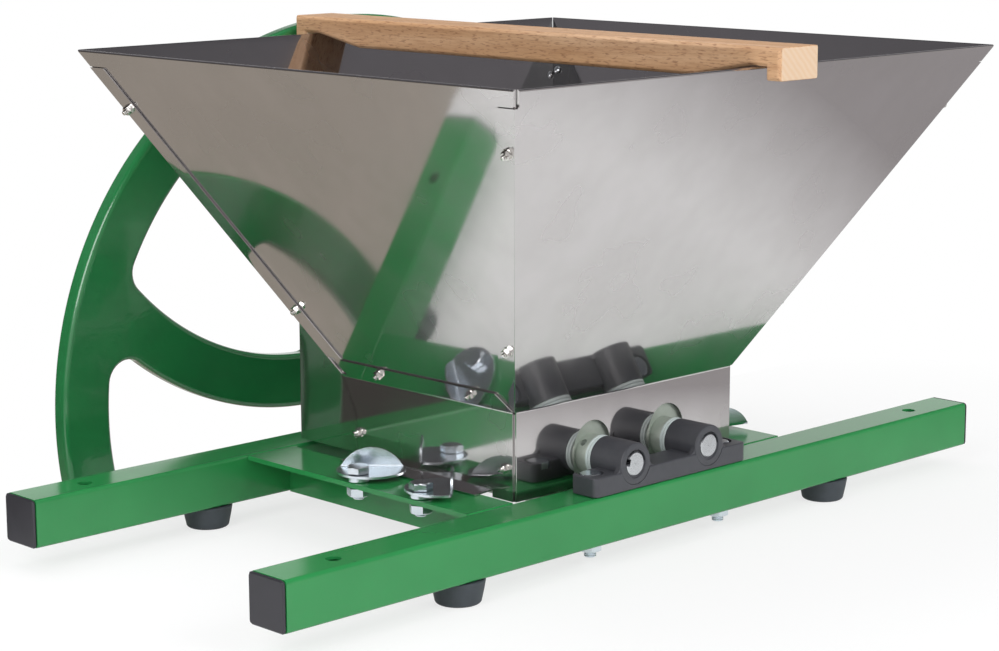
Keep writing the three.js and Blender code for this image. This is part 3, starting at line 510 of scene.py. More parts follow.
def makeBeech(name):
    material, tree, place = newMaterial(name)
    fibrePlace = addNode(tree, "Mapping", Vector=place, Scale=beechLook["fibreSquash"],
                         Rotation=beechLook["askew"])[0]
    fleckPlace = addNode(tree, "Mapping", Vector=place, Scale=beechLook["fleckSquash"])[0]
    fibre, figure, fleck = (
        addNode(tree, "TexNoise", Vector=where, Scale=perMetre(beechLook[size]), Detail=detail,
                Roughness=rough)[0]
        for where, size, detail, rough in ((fibrePlace, "fibreMm", 5, 0.65), (fibrePlace, "figureMm", 3, 0.5),
                                           (fleckPlace, "fleckMm", 2, 0.5)))
    # a wave's bands lie 2 pi tenths of its unit apart
    rings, endRings = (
        addNode(tree, "TexWave", {"wave_type": "BANDS", "bands_direction": "DIAGONAL"}, Vector=where,
                Scale=perMetre(beechLook[size]) * math.pi / 5, Distortion=distortion, Detail=2.0,
                Detail_Scale=detailScale)[1]
        for where, size, distortion, detailScale in ((fibrePlace, "ringMm", 3.5, 0.6),
                                                     (place, "endRingMm", 2.0, 1.0)))
    tones = {tone: linear(beechLook[tone]) for tone in ("pale", "tan", "dark", "ray", "endPale")}
    sides = layColours(tree, tones["pale"], [(figure, 0.35, 0.65, tones["tan"], 1.0),
                                             (rings, 0.0, 1.0, tones["dark"], 0.28),
                                             (fibre, 0.44, 0.68, tones["dark"], 0.5),
                                             (fleck, 0.56, 0.66, tones["ray"], 0.6)])
    endGrain = layColours(tree, tones["endPale"], [(endRings, 0.0, 1.0, tones["tan"], 0.3)])
    normal = addNode(tree, "TexCoord")["Normal"]
    facing = addNode(tree, "SeparateXYZ", Vector=normal)["Y"]
    across = addNode(tree, "Math", {"operation": "ABSOLUTE"}, in0=facing)[0]
    base = layColours(tree, sides, [(across, 0.75, 0.95, endGrain, 1.0)])
    smoothest, roughest = beechLook["roughness"]
    roughness = addNode(tree, "MapRange", in0=fibre, in3=smoothest, in4=roughest)[0]
    relief = addNode(tree, "Bump", Strength=1.0, Distance=beechLook["depthMm"] * mm, Height=fibre)[0]
    wood = addNode(tree, "BsdfPrincipled", Base_Color=base, Roughness=roughness, Normal=relief, IOR=1.48)
    addNode(tree, "OutputMaterial", Surface=wood[0])
    return material


barBeech = makeBeech("oiledBeechBar")
gripBeech = makeBeech("turnedBeechGrip")
print("materials made:", len(bpy.data.materials))


# Places that several pieces share
railMiddles = {"front": 0, "back": 314}
sideSigns = {"left": -1, "right": 1}
axleX = {"driven": -43, "drive": 47}
axleZ = 61
crossMembers = {"middle": -5, "half": 189, "leg": 50}
acrossFlats = 17
seat = 0.3
up, down, back, front = (0, 0, 1), (0, 0, -1), (0, 1, 0), (0, -1, 0)

# In the dictionaries below, heads and nuts are given as height, crown and foot, threads as radius, length
# and pitch, rims as radius, height and edge, discs as radius, thickness, foot edge and rim edge, rings as
# bore, radius, length and edge, rods as radius, start and end

# Frame: tube rails with pushed-in caps, angle cross members with weld beads, rubber feet, plated bolts
frameLook = {"tubeEdge": 0.5, "angleEdge": 0.9, "capEdge": 0.8}
footLook = {"apart": 446, "z": -20, "recess": [(0, 12), (8, 12), (8, 0.6), (8.6, 0)], "footRim": (18.5, 0, 3),
            "waist": (20.2, 11), "topRim": (21.5, 19.7, 1.2), "top": (0, 19.7)}
boltLook = {"head": (6.4, 1.2, 0), "nut": (8, 1.3, 0.9), "shank": (5, 64, 1.5), "apart": 157, "middle": 2,
            "headZ": 49.9, "nutZ": -0.3, "shankZ": -13.3}
beadLook = {"width": 3.4, "step": 2.6, "sides": 8, "perScale": 4, "least": 0.78, "swell": 0.22,
            "wander": 0.03, "tip": 0.35, "rowsY": (20.6, 293.4), "rowZ": 38.6, "short": 1.5}
footProfile = footLook["recess"] + rounding(*footLook["footRim"], steps=5, top=False)
footProfile += [footLook["waist"]] + rounding(*footLook["topRim"]) + [footLook["top"]]


def beadShell(start, end):
    # a weld bead of overlapping scales between two points that lie level
    start, end = Vector(start), Vector(end)
    steps = max(2, round((end - start).length / beadLook["step"])) * beadLook["perScale"]
    along = (end - start).normalized()
    across = along.cross(Vector(up)).normalized()
    over = along.cross(across)
    bm = bmesh.new()
    rows = []
    for i in range(steps + 1):
        swell = beadLook["least"] + beadLook["swell"] * abs(math.sin(math.pi * i / beadLook["perScale"]))
        swell += random.uniform(-beadLook["wander"], beadLook["wander"])
        radius = beadLook["width"] / 2 * swell * (beadLook["tip"] if i in (0, steps) else 1)
        centre = start + (end - start) * i / steps
        rows.append([bm.verts.new((centre + (across * x + over * y) * radius) * mm)
                     for x, y in around(beadLook["sides"])])
    skinRows(bm, rows)
    bm.faces.new(rows[0])
    bm.faces.new(list(reversed(rows[-1])))
    return bm


def hexAt(size, position, direction, spin):
    # a head or nut of the large bolts
    return moveShell(hexShell(acrossFlats, *size), axisMatrix(position, direction, spin))


for rail, y in railMiddles.items():
    dressNode("rail_" + rail, powderCoat, frameLook["tubeEdge"])
    for side, s in sideSigns.items():
        dressNode(f"rail_cap_{rail}_{side}", polyethylene, frameLook["capEdge"], 3)
        footX = s * footLook["apart"] / 2
        foot = moveShell(turnedShell(footProfile, 72), axisMatrix((footX, y, footLook["z"])))
        dress(f"foot_{rail}_{side}", "moulded", foot, rubber, smoothAngle=40)
        x = boltLook["middle"] + s * boltLook["apart"] / 2
        head = hexAt(boltLook["head"], (x, y, boltLook["headZ"]), up, spin=0.4 + s)
        nut = hexAt(boltLook["nut"], (x, y, boltLook["nutZ"]), down, spin=0.2 - s)
        shank = moveShell(threadShell(*boltLook["shank"]), axisMatrix((x, y, boltLook["shankZ"])))
        dress(f"bearing_bolt_{rail}_{side}", "plated", joinShells(head, nut, shank), zinc, smoothAngle=30)
for side, s in sideSigns.items():
    dressNode("cross_member_" + side, powderCoat, frameLook["angleEdge"], 3)
    outer = crossMembers["middle"] + s * crossMembers["half"]
    starts, ends = (outer - s * gap for gap in (crossMembers["leg"] - beadLook["short"], beadLook["short"]))
    z = beadLook["rowZ"]
    beads = [beadShell((starts, y, z), (ends, y, z)) for y in beadLook["rowsY"]]
    bead = addDetail(f"weld_beads_{side}", joinShells(*beads), powderCoat, smoothAngle=60)
print("frame made")


# Bearing blocks: a pocketed base, two barrels with a turned rim and a relief round each shaft
blockLook = {"length": 184, "depth": 28.4, "base": 16, "corner": 5, "edge": 1.2, "middle": 2, "foot": 40.3,
             "radius": 17.5, "long": 35, "barrelX": 45, "room": (17.2, -1, 35), "rimEdge": 1.4,
             "innerEdge": 0.6, "bore": 10.15, "relief": 11.6, "reliefDepth": 3, "reliefEdge": 0.5,
             "web": 4, "webY": 1, "webFoot": 1, "fillet": 6, "pocket": (11, 9.3, 17), "pocketY": 19}
blockCentre = axleZ - blockLook["foot"]


def blockBase():
    # the base, cut for the bolts' heads and for the barrels
    half, depth, corner = blockLook["length"] / 2, blockLook["depth"], blockLook["corner"]
    outline = []
    for cx, cy, start in ((half - corner, corner, -0.5), (half - corner, depth - corner, 0),
                          (corner - half, depth - corner, 0.5), (corner - half, corner, 1)):
        outline += arcPoints(cx, cy, corner, start * math.pi, (start + 0.5) * math.pi, stepMm=1.2)
    base = plateShell([spaced(outline)], blockLook["base"], blockLook["edge"])
    pocketX, roomX = boltLook["apart"] / 2, blockLook["barrelX"]
    pockets = [moveShell(rodShell(*blockLook["pocket"]), axisMatrix((x, blockLook["pocketY"], 0)))
               for x in (-pocketX, pocketX)]
    rooms = [alongY(rodShell(*blockLook["room"], 72), x, 0, blockCentre) for x in (-roomX, roomX)]
    return carved(base, *pockets, *rooms)


def barrelAndWeb(x):
    # one barrel along Y, and the web that runs down from it into the base with a fillet at each side
    radius, long, bore, relief, edge, fillet = (
        blockLook[k] for k in ("radius", "long", "bore", "relief", "reliefEdge", "fillet"))
    profile = [(relief, edge), (relief + edge, 0)] + rounding(radius, 0, blockLook["rimEdge"], 4, top=False)
    profile += rounding(radius, long, blockLook["innerEdge"])
    floor = blockLook["reliefDepth"]
    profile += [(bore, long), (bore, floor), (relief, floor), (relief, edge)]
    barrel = alongY(turnedShell(profile, 72), x, 0, blockCentre)
    filletZ = blockLook["base"] + fillet
    rise = blockCentre - filletZ
    filletX = math.sqrt((radius + fillet) ** 2 - rise ** 2)
    tilt = math.atan2(-rise, filletX)
    web = [(x - filletX, blockLook["webFoot"]), (x + filletX, blockLook["webFoot"])]
    web += arcPoints(x + filletX, filletZ, fillet, -math.pi / 2, math.pi + tilt, clockwise=True, stepMm=1)
    web += [(x, blockCentre)]
    web += arcPoints(x - filletX, filletZ, fillet, -tilt, -math.pi / 2, clockwise=True, stepMm=1)
    return barrel, moveShell(plateShell([spaced(web)], blockLook["web"]), upright(0, blockLook["webY"], 0))


for end, y, turn in (("front", -19, 0), ("back", 333, math.pi)):
    shells = [blockBase(), *barrelAndWeb(-blockLook["barrelX"]), *barrelAndWeb(blockLook["barrelX"])]
    block = moveShell(joinShells(*shells), axisMatrix((blockLook["middle"], y, blockLook["foot"]), spin=turn))
    dress("bearing_block_" + end, "moulded", block, mouldedNylon)


# Thrust washers: each is two turned nylon rings laid together. Front and back are given as Y and the way
# along Y that the rings follow
washerLook = {"ring": (10.3, 17.5, 2.55, 0.5), "apart": 2.85, "front": (16.3, 1), "back": (297.7, -1)}
for axle, x in axleX.items():
    for end in ("front", "back"):
        y, sign = washerLook[end]
        rings = [alongY(ringShell(*washerLook["ring"]), x, y + sign * away, axleZ, sign)
                 for away in (0, washerLook["apart"])]
        dress(f"thrust_washer_{end}_{axle}", "turned", joinShells(*rings), naturalNylon, smoothAngle=40)
print("bearings made")


# Clips: eccentric pressed discs, folded up along a chord, on shouldered bolts
clipLook = {"radius": 29, "thick": 2, "chord": 11, "offset": 15, "side": 9.5, "bend": 3.2, "hole": 6.35,
            "edge": 0.45, "plateZ": 44.6, "inFromEdge": 9.5, "frontY": 84, "backY": 160, "angleLeft": 45,
            "angleRight": 74, "bendSteps": 6, "riseSteps": 14, "topShare": 0.998}
clipBoltLook = {"collar": (9, 4, 0.5, 0.5), "shoulder": (6.2, 6.6, 0.3), "head": (6.4, 1.3, 0.3),
                "tail": (5, 16, 1.5), "collarZ": 40.3, "headZ": 46.9, "nutZ": 35.7, "tailZ": 25.2}


def clipShell(hand):
    radius, thick, bend, chord = (clipLook[k] for k in ("radius", "thick", "bend", "chord"))
    cx, cy = clipLook["offset"], hand * clipLook["side"]
    chordX = cx + chord
    foldX = chordX - bend
    opening = math.acos((foldX - cx) / radius)
    outline = arcPoints(cx, cy, radius, opening, 2 * math.pi - opening, stepMm=2.4)
    bm = plateShell([outline, circleLoop(clipLook["hole"], 40, clockwise=True)], thick)
    # the fold joins the flat disc along the chord, so the side face there goes
    for face in list(bm.faces):
        if abs(face.calc_center_median().x - foldX * mm) < 1e-6 and abs(face.normal.x) > 0.99:
            bm.faces.remove(face)
    # each row of the fold: outer and inner (x, z), and half its width along Y
    flat, raised = (math.sqrt(radius ** 2 - reach ** 2) for reach in (foldX - cx, chord + bend))
    sections = []
    for i in range(clipLook["bendSteps"] + 1):
        share = i / clipLook["bendSteps"]
        a = math.pi / 2 * share
        outer = (foldX + bend * math.sin(a), bend * (1 - math.cos(a)))
        inner = (foldX + (bend - thick) * math.sin(a), bend - (bend - thick) * math.cos(a))
        sections.append((outer, inner, flat + (raised - flat) * share))
    # rises close up towards the top and stop just short of it
    for i in range(1, clipLook["riseSteps"] + 1):
        rise = math.sin(math.pi / 2 * i / clipLook["riseSteps"]) * clipLook["topShare"]
        z = bend + (radius - chord - bend) * rise
        halfWidth = math.sqrt(max(0.1, radius ** 2 - (chord + z) ** 2))
        sections.append(((chordX, z), (chordX - thick, z), halfWidth))
    rows = []
    for outer, inner, wide in sections:
        rows.append([bm.verts.new((x * mm, (cy + side * wide) * mm, z * mm))
                     for (x, z), side in ((outer, 1), (outer, -1), (inner, -1), (inner, 1))])
    skinRows(bm, rows)
    bm.faces.new(rows[-1])
    bmesh.ops.remove_doubles(bm, verts=bm.verts, dist=0.00002)
    bmesh.ops.recalc_face_normals(bm, faces=bm.faces)
    bevelEdges(bm, sharpEdges(bm, 50), clipLook["edge"] * mm, 3)
    return bm


def clipBolt(x, y, s):
    radius, top, edge = clipBoltLook["shoulder"]
    profile = discProfile(*clipBoltLook["collar"]) + [(radius, clipBoltLook["collar"][1])]
    profile += rounding(radius, top, edge) + [(0, top)]
    collar = moveShell(turnedShell(profile), axisMatrix((x, y, clipBoltLook["collarZ"])))
    head = hexAt(clipBoltLook["head"], (x, y, clipBoltLook["headZ"]), up, spin=0.5 * s + y)
    nut = hexAt(boltLook["nut"], (x, y, clipBoltLook["nutZ"]), down, spin=y * 0.3)
    tail = moveShell(threadShell(*clipBoltLook["tail"]), axisMatrix((x, y, clipBoltLook["tailZ"])))
    return joinShells(collar, head, nut, tail)


for side, s in sideSigns.items():
    for end, hand in (("front", 1), ("back", -1)):
        x = crossMembers["middle"] + s * (crossMembers["half"] - clipLook["inFromEdge"])
        y = clipLook[end + "Y"]
        turn = math.radians(-hand * clipLook["angleLeft"] if s < 0 else 180 + hand * clipLook["angleRight"])
        clip = moveShell(clipShell(-s * hand), axisMatrix((x, y, clipLook["plateZ"]), spin=turn))
        dress(f"clip_{end}_{side}", "pressed", clip, zinc, smoothAngle=40)
        dress(f"clip_bolt_{end}_{side}", "plated", clipBolt(x, y, s), zinc, smoothAngle=30)
print("clips made")


# Hopper, chamber and guard: sheet edges are deburred and folds have the press brake's own radius
sheetLook = {"edge": 0.5, "hemTop": 1.05, "rimAboveMm": 376, "fold": 2.4, "foldInner": 1.1, "foldFace": 5,
             "thinFace": 0.9, "longFold": 30, "longTop": 100}


def dressSheet(node):
    bm = solidOf(node)
    bmesh.ops.recalc_face_normals(bm, faces=bm.faces)

    def narrowest(edge):
        # the width of the narrower face beside an edge
        return min(face.calc_area() / max(e.calc_length() for e in face.edges) for face in edge.link_faces)

    def folded(angle, convex, longMm):
        return [e for e in sharpEdges(bm, angle) if e.is_convex == convex and e.calc_length() > longMm * mm]

    for convex, size in ((True, "fold"), (False, "foldInner")):
        folds = [e for e in folded(20, convex, sheetLook["longFold"])
                 if narrowest(e) > sheetLook["foldFace"] * mm]
        bevelEdges(bm, folds, sheetLook[size] * mm, 4)
    tops = [e for e in folded(40, True, sheetLook["longTop"])
            if min(v.co.z for v in e.verts) > sheetLook["rimAboveMm"] * mm]
    bevelEdges(bm, tops, sheetLook["hemTop"] * mm, 4)
    rest = [e for e in folded(40, True, 0) if narrowest(e) > sheetLook["thinFace"] * mm]
    bevelEdges(bm, rest, sheetLook["edge"] * mm, 2)
    dress(node, "folded", bm, stainless)


for node in ("hopper_front_panel", "hopper_back_panel", "hopper_left_panel", "hopper_right_panel",
             "chamber_left_wall", "chamber_right_wall", "side_deflector_left", "side_deflector_right",
             "gear_guard"):
    dressSheet(node)


# Sheet screws: a washer, a nut and the rounded screw end outside, a low dark head inside. The washer is
# given as radius, thickness and edge, the nut as width across flats, height, crown and foot
screwLook = {"washer": (4.6, 0.9, 0.3), "nut": (7, 3.4, 0.7, 0.3), "end": 2.1, "endHeight": 2.4, "root": 0.84,
             "threadStep": 0.3, "tipShare": 0.92, "tipEdge": 0.5, "sheet": 3.05,
             "head": [(0, 0), (3.6, 0), (3.9, 0.5), (3.5, 1.4), (2.2, 2.1), (0, 2.3)]}
slopeRun, slopeRise = 152.9, 277.1
slopeLong = math.hypot(slopeRun, slopeRise)
slopeOut = (-slopeRise / slopeLong, 0, -slopeRun / slopeLong)
wallOut = (-1, 0, 0)
sheetScrews = [((-257.4, -91.6, 337.0), slopeOut), ((-163.6, 5.2, 167.0), slopeOut),
               ((-257.3, 362.2, 336.8), slopeOut), ((-164.1, 260.1, 167.8), slopeOut),
               ((-136.8, 187.2, 118.4), slopeOut), ((-137.0, 75.4, 118.8), slopeOut),
               ((-132.1, 219.0, 62.2), wallOut), ((-132.1, 41.4, 62.2), wallOut)]
mirrorAt = -0.5   # the hopper's middle, where the right side's screws mirror the left side's
sheetScrews += [((2 * mirrorAt - x, y, z), (-nx, ny, nz)) for (x, y, z), (nx, ny, nz) in sheetScrews]


def screwShell(at, out, spin):
    radius, thick, edge = screwLook["washer"]
    profile = [(0, 0), (radius, 0)] + rounding(radius, thick, edge) + [(0, thick)]
    washer = moveShell(turnedShell(profile, 32), axisMatrix(at, out))
    nut = moveShell(hexShell(*screwLook["nut"]), axisMatrix(at + Vector(out) * thick, out, spin))
    height = thick + screwLook["nut"][1]
    tip = height + screwLook["endHeight"]
    profile = [(0, height - 1), (screwLook["end"], height - 1)]
    for i in range(1, 5):
        # root and crest of the thread alternate
        reach = screwLook["root"] if i % 2 else 1
        profile.append((screwLook["end"] * reach, height + i * screwLook["threadStep"]))
    profile += rounding(screwLook["end"] * screwLook["tipShare"], tip, screwLook["tipEdge"]) + [(0, tip)]
    return joinShells(washer, nut, moveShell(turnedShell(profile, 24), axisMatrix(at, out)))


screwShells, headShells = [], []
for at, out in sheetScrews:
    at, out = Vector(at), Vector(out)
    screwShells.append(screwShell(at, out, random.uniform(0, 1)))
    inside = axisMatrix(at - out * screwLook["sheet"], -out)
    headShells.append(moveShell(turnedShell(screwLook["head"], 24), inside))
screws = addDetail("sheet_screws_outside", joinShells(*screwShells), screwSteel, smoothAngle=30)
heads = addDetail("sheet_screws_inside", joinShells(*headShells), turnedSteel, smoothAngle=40)
print("sheet work made")


# Shafts: ground bars with chamfered, faced ends; the driven one shows its open keyway. Keyways are boxes
# from x to x, y to y and z to z, with x and z counted from the axle
shaftLook = {"radius": 10, "chamfer": 0.9, "dimple": (1.6, 0), "dimpleFloor": (0, 1.0), "frontY": -18.7,
             "drivenEndY": 332.7, "driveEndY": 450, "keyway": (-11, -6.5, -20, 16, -3, 3), "keyTurn": 15,
             "wheelKeyway": (-3.3, 3.3, 405.7, 452, 6.2, 11), "endBore": (6.3, 0, 30), "endBoreY": 423}
driveX = axleX["drive"]


def shaftShell(axle):
    length = shaftLook[axle + "EndY"] - shaftLook["frontY"]
    radius, chamfer = shaftLook["radius"], shaftLook["chamfer"]
    profile = [shaftLook["dimpleFloor"], shaftLook["dimple"], (radius - chamfer, 0), (radius, chamfer),
               (radius, length - chamfer), (radius - chamfer, length), (0, length)]
    return alongY(turnedShell(profile, 72), axleX[axle], shaftLook["frontY"], axleZ)


def keywayShell(box, axle, turn=0.0):
    place = Matrix.Translation(Vector((axleX[axle], 0, axleZ)) * mm)
    return moveShell(boxShell(*box), place @ Matrix.Rotation(math.radians(turn), 4, "Y"))


keyway = keywayShell(shaftLook["keyway"], "driven", shaftLook["keyTurn"])
dress("driven_shaft", "ground", carved(shaftShell("driven"), keyway), turnedSteel)
wheelKeyway = keywayShell(shaftLook["wheelKeyway"], "drive")
endBore = alongY(rodShell(*shaftLook["endBore"], 40), driveX, shaftLook["endBoreY"], axleZ)
dress("drive_shaft", "ground", carved(shaftShell("drive"), wheelKeyway, endBore), turnedSteel)


# Rollers: five cast rows of blunt teeth on a turned hub with its set screw hole. Tip and root are given as
# radius and width
rollerLook = {"tip": (52, 7), "root": (34.5, 14), "teeth": 8, "rows": 5, "rowLength": 36.8, "rowsY": 34,
              "edge": 1.1, "hub": (10.2, 16.5, 220.5, 0.8), "hubY": 22, "screw": (3.2, 8, 20), "screwY": 29}


def toothLoop(hand, turn):
    # the outline of one row of teeth
    pitch = 2 * math.pi / rollerLook["teeth"]
    (tip, tipWidth), (root, rootWidth) = rollerLook["tip"], rollerLook["root"]
    tipHalf, rootHalf = math.asin(tipWidth / 2 / tip), math.asin(rootWidth / 2 / root)
    loop = []
    for tooth in range(rollerLook["teeth"]):
        centre = tooth * pitch + turn
        for radius, angle in ((tip, centre - tipHalf), (tip, centre + tipHalf), (root, centre + rootHalf),
                              (root, centre + pitch - rootHalf)):
            loop.append((hand * radius * math.cos(angle), radius * math.sin(angle)))
    return loop if hand > 0 else loop[::-1]


def rollerShell(x, hand, phase, screwAngle):
    rowTurn = 2 * math.pi / rollerLook["teeth"] / rollerLook["rows"]
    shells = []
    for row in range(rollerLook["rows"]):
        plate = plateShell([toothLoop(hand, phase + row * rowTurn)], rollerLook["rowLength"])
        bevelEdges(plate, sharpEdges(plate, 20), rollerLook["edge"] * mm, 3)
        start = rollerLook["rowsY"] + row * rollerLook["rowLength"]
        shells.append(moveShell(plate, upright(x, start, axleZ)))
    hub = alongY(ringShell(*rollerLook["hub"]), x, rollerLook["hubY"], axleZ)
    out = (math.cos(math.radians(screwAngle)), 0, math.sin(math.radians(screwAngle)))
    hole = moveShell(rodShell(*rollerLook["screw"], 28), axisMatrix((x, rollerLook["screwY"], axleZ), out))
    return joinShells(*shells, carved(hub, hole))


for axle, hand, phase, screwAngle in (("driven", 1, 0, 134), ("drive", -1, math.pi / 8, 35)):
    dress(axle + "_roller", "cast", rollerShell(axleX[axle], hand, phase, screwAngle), castAluminium)
for axle in axleX:
    dressNode(axle + "_gear", turnedSteel, 0.4)
print("axles made")


# Flywheel: one cast plate with four curved spokes, rounded all round, and a boss with its keyway
wheelLook = {"radius": 338, "rim": 49, "thick": 18, "front": 424, "edge": 5, "spokes": 4, "spokeWidth": 50,
             "curve": 289, "straight": 60, "hub": 62, "fillet": 20, "boss": (10.2, 28, 48, 1.6), "bossY": 404,
             "keyway": (-3.3, 3.3, 400, 456, 5, 12.8), "crankAngle": -19, "crankHole": (6.3, 0, 30),
             "axleHole": (10.2, 0, 30), "cutY": 418}


def circlesMeet(first, second):
    # where two circles given as (x, y, radius) meet, to the right of the line between them
    (ax, ay, ar), (bx, by, br) = first, second
    dx, dy = bx - ax, by - ay
    distance = math.hypot(dx, dy)
    along = (distance ** 2 + ar ** 2 - br ** 2) / (2 * distance)
    across = -math.sqrt(ar ** 2 - along ** 2)
    return ax + (along * dx - across * dy) / distance, ay + (along * dy + across * dx) / distance


def windowLoop(turn):
    # the outline of the opening between one spoke and the next, with a fillet in each corner
    pitch = 2 * math.pi / wheelLook["spokes"]
    straight, curve = wheelLook["straight"], wheelLook["curve"]

    def spokeCentre(a):
        return -straight * math.cos(a) + curve * math.sin(a), straight * math.sin(a) + curve * math.cos(a)

    def angle(start, end):
        return math.atan2(end[1] - start[1], end[0] - start[0])

    near, following = spokeCentre(turn), spokeCentre(turn + pitch)
    upper, lower = curve - wheelLook["spokeWidth"] / 2, curve + wheelLook["spokeWidth"] / 2
    rim, hub, f = wheelLook["radius"] - wheelLook["rim"], wheelLook["hub"], wheelLook["fillet"]
    rimNear = circlesMeet((*near, upper - f), (0, 0, rim - f))
    rimNext = circlesMeet((*following, lower + f), (0, 0, rim - f))
    hubNext = circlesMeet((*following, lower + f), (0, 0, hub + f))
    hubNear = circlesMeet((*near, upper - f), (0, 0, hub + f))
    origin = (0, 0)
    arcs = [(rimNear, f, angle(near, rimNear), angle(origin, rimNear), True),
            (origin, rim, angle(origin, rimNear), angle(origin, rimNext), True),
            (rimNext, f, angle(origin, rimNext), angle(rimNext, following), True),
            (following, lower, angle(following, rimNext), angle(following, hubNext), False),
            (hubNext, f, angle(hubNext, following), angle(hubNext, origin), True),
            (origin, hub, angle(origin, hubNext), angle(origin, hubNear), False),
            (hubNear, f, angle(hubNear, origin), angle(near, hubNear), True),
            (near, upper, angle(near, hubNear), angle(near, rimNear), True)]
    loop = []
    for centre, radius, start, end, clockwise in arcs:
        loop += arcPoints(*centre, radius, start, end, clockwise, stepMm=4)
    return spaced(loop)


def turnsLeft(loop):
    return sum(a[0] * b[1] - b[0] * a[1] for a, b in zip(loop, loop[1:] + loop[:1])) > 0


crankAngle = math.radians(wheelLook["crankAngle"])
crankRadius = wheelLook["radius"] - wheelLook["rim"] / 2
gripX, gripZ = driveX + crankRadius * math.cos(crankAngle), axleZ + crankRadius * math.sin(crankAngle)
wheelLoops = [circleLoop(wheelLook["radius"], 400)]
for k in range(wheelLook["spokes"]):
    loop = windowLoop(k * 2 * math.pi / wheelLook["spokes"])
    wheelLoops.append(loop[::-1] if turnsLeft(loop) else loop)
wheelPlate = moveShell(plateShell(wheelLoops, wheelLook["thick"], wheelLook["edge"], 6),
                       upright(driveX, wheelLook["front"], axleZ))
cutY = wheelLook["cutY"]
crankHole = alongY(rodShell(*wheelLook["crankHole"], 40), gripX, cutY, gripZ)
axleHole = alongY(rodShell(*wheelLook["axleHole"], 72), driveX, cutY, axleZ)
boss = alongY(ringShell(*wheelLook["boss"]), driveX, wheelLook["bossY"], axleZ)
bossKeyway = keywayShell(wheelLook["keyway"], "drive")
wheel = joinShells(carved(wheelPlate, crankHole, axleHole), carved(boss, bossKeyway))
dress("flywheel", "cast", wheel, castEnamel)


# Crank: a long bolt through the rim with a turned beech grip that spins on it
gripLook = {"length": 112, "radius": 17, "neck": 13, "neckEdge": 2, "bore": 6.3, "boreEdge": 1, "tail": 0.82,
            "tailEdge": 2.4, "swellEnd": 0.8, "power": 0.6, "flareEarly": 0.06, "flareOver": 0.14,
            "steps": 40}
pinLook = {"head": (7, 1.2, 0), "nut": (8, 1.2, 0.9), "rod": 6, "past": 2, "cap": (12, 2.2, 0.5, 0.8),
           "dome": [(6, 5), (4.8, 6), (0, 6)]}
wheelBack = wheelLook["front"] + wheelLook["thick"]
gripY = wheelBack + seat + pinLook["nut"][0] + seat
length, neck, bore, edge = (gripLook[k] for k in ("length", "neck", "bore", "boreEdge"))
tail = gripLook["radius"] * gripLook["tail"]
gripProfile = [(bore, edge), (bore + edge, 0)] + rounding(neck, 0, gripLook["neckEdge"], 4, top=False)
for i in range(2, gripLook["steps"] - 1):
    along = i / gripLook["steps"]
    swell = math.sin(math.pi * min(1, along / gripLook["swellEnd"])) ** gripLook["power"]
    # past the swell the grip flares out again to its tail
    blend = max(0.0, (along - gripLook["swellEnd"] + gripLook["flareEarly"]) / gripLook["flareOver"])
    flare = (tail - neck) * math.sin(min(1, blend) * math.pi / 2)
    gripProfile.append((neck + max((gripLook["radius"] - neck) * swell, flare), along * length))
gripProfile += rounding(tail, length, gripLook["tailEdge"], 4) + [(bore, length), (bore, edge)]
grip = alongY(turnedShell(gripProfile, 72), gripX, gripY, gripZ)
dress("crank_grip", "turned", grip, gripBeech, smoothAngle=40)
gripEnd = gripY + length + seat
pinParts = [
    hexAt(pinLook["head"], (gripX, wheelLook["front"] - seat, gripZ), front, spin=0.3),
    hexAt(pinLook["nut"], (gripX, wheelBack + seat, gripZ), back, spin=0.7),
    alongY(rodShell(pinLook["rod"], 0, gripEnd + pinLook["past"] - cutY), gripX, cutY, gripZ),
    alongY(turnedShell(discProfile(*pinLook["cap"]) + pinLook["dome"]), gripX, gripEnd, gripZ),
]
dress("crank_pin", "plated", joinShells(*pinParts), zinc, smoothAngle=32)


# Wheel fittings: a spacer, the key, and a washer and bolt that hold the wheel on
fittingLook = {"spacer": (10.3, 14, 70.4, 0.6), "spacerY": 333.3, "washer": (22, 4, 0.6, 0.6),
               "head": (6.4, 1.2, 0), "thread": (6, 27, 1.5), "threadY": 426.3}
spacer = alongY(ringShell(*fittingLook["spacer"], 64), driveX, fittingLook["spacerY"], axleZ)
dress("wheel_spacer", "plated", spacer, zinc)
dressNode("wheel_key", turnedSteel, 0.4)
washerY = wheelLook["bossY"] + wheelLook["boss"][2] + seat
thick = fittingLook["washer"][1]
endParts = [
    alongY(turnedShell(discProfile(*fittingLook["washer"]) + [(0, thick)], 72), driveX, washerY, axleZ),
    hexAt(fittingLook["head"], (driveX, washerY + thick, axleZ), back, spin=0.2),
    alongY(threadShell(*fittingLook["thread"]), driveX, fittingLook["threadY"], axleZ),
]
dress("wheel_end_bolt", "plated", joinShells(*endParts), zinc, smoothAngle=30)
dressNode("wooden_bar", barBeech, 0.9, 3)
print("moving pieces made")


# Camera: where the photo was taken from
cameraSetup = {"lens": 89.5, "sensor": 36, "positionMm": (-1479.95, -1342.88, 545.62), "yaw": 45.88,
               "pitch": -10.75, "roll": -0.21, "clip": (0.05, 60)}
yaw, pitch, roll = (math.radians(cameraSetup[k]) for k in ("yaw", "pitch", "roll"))
camera = bpy.data.objects.new("photoCamera", bpy.data.cameras.new("photoCamera"))
camera.data.lens = cameraSetup["lens"]
camera.data.sensor_width = cameraSetup["sensor"]
camera.data.clip_start, camera.data.clip_end = cameraSetup["clip"]
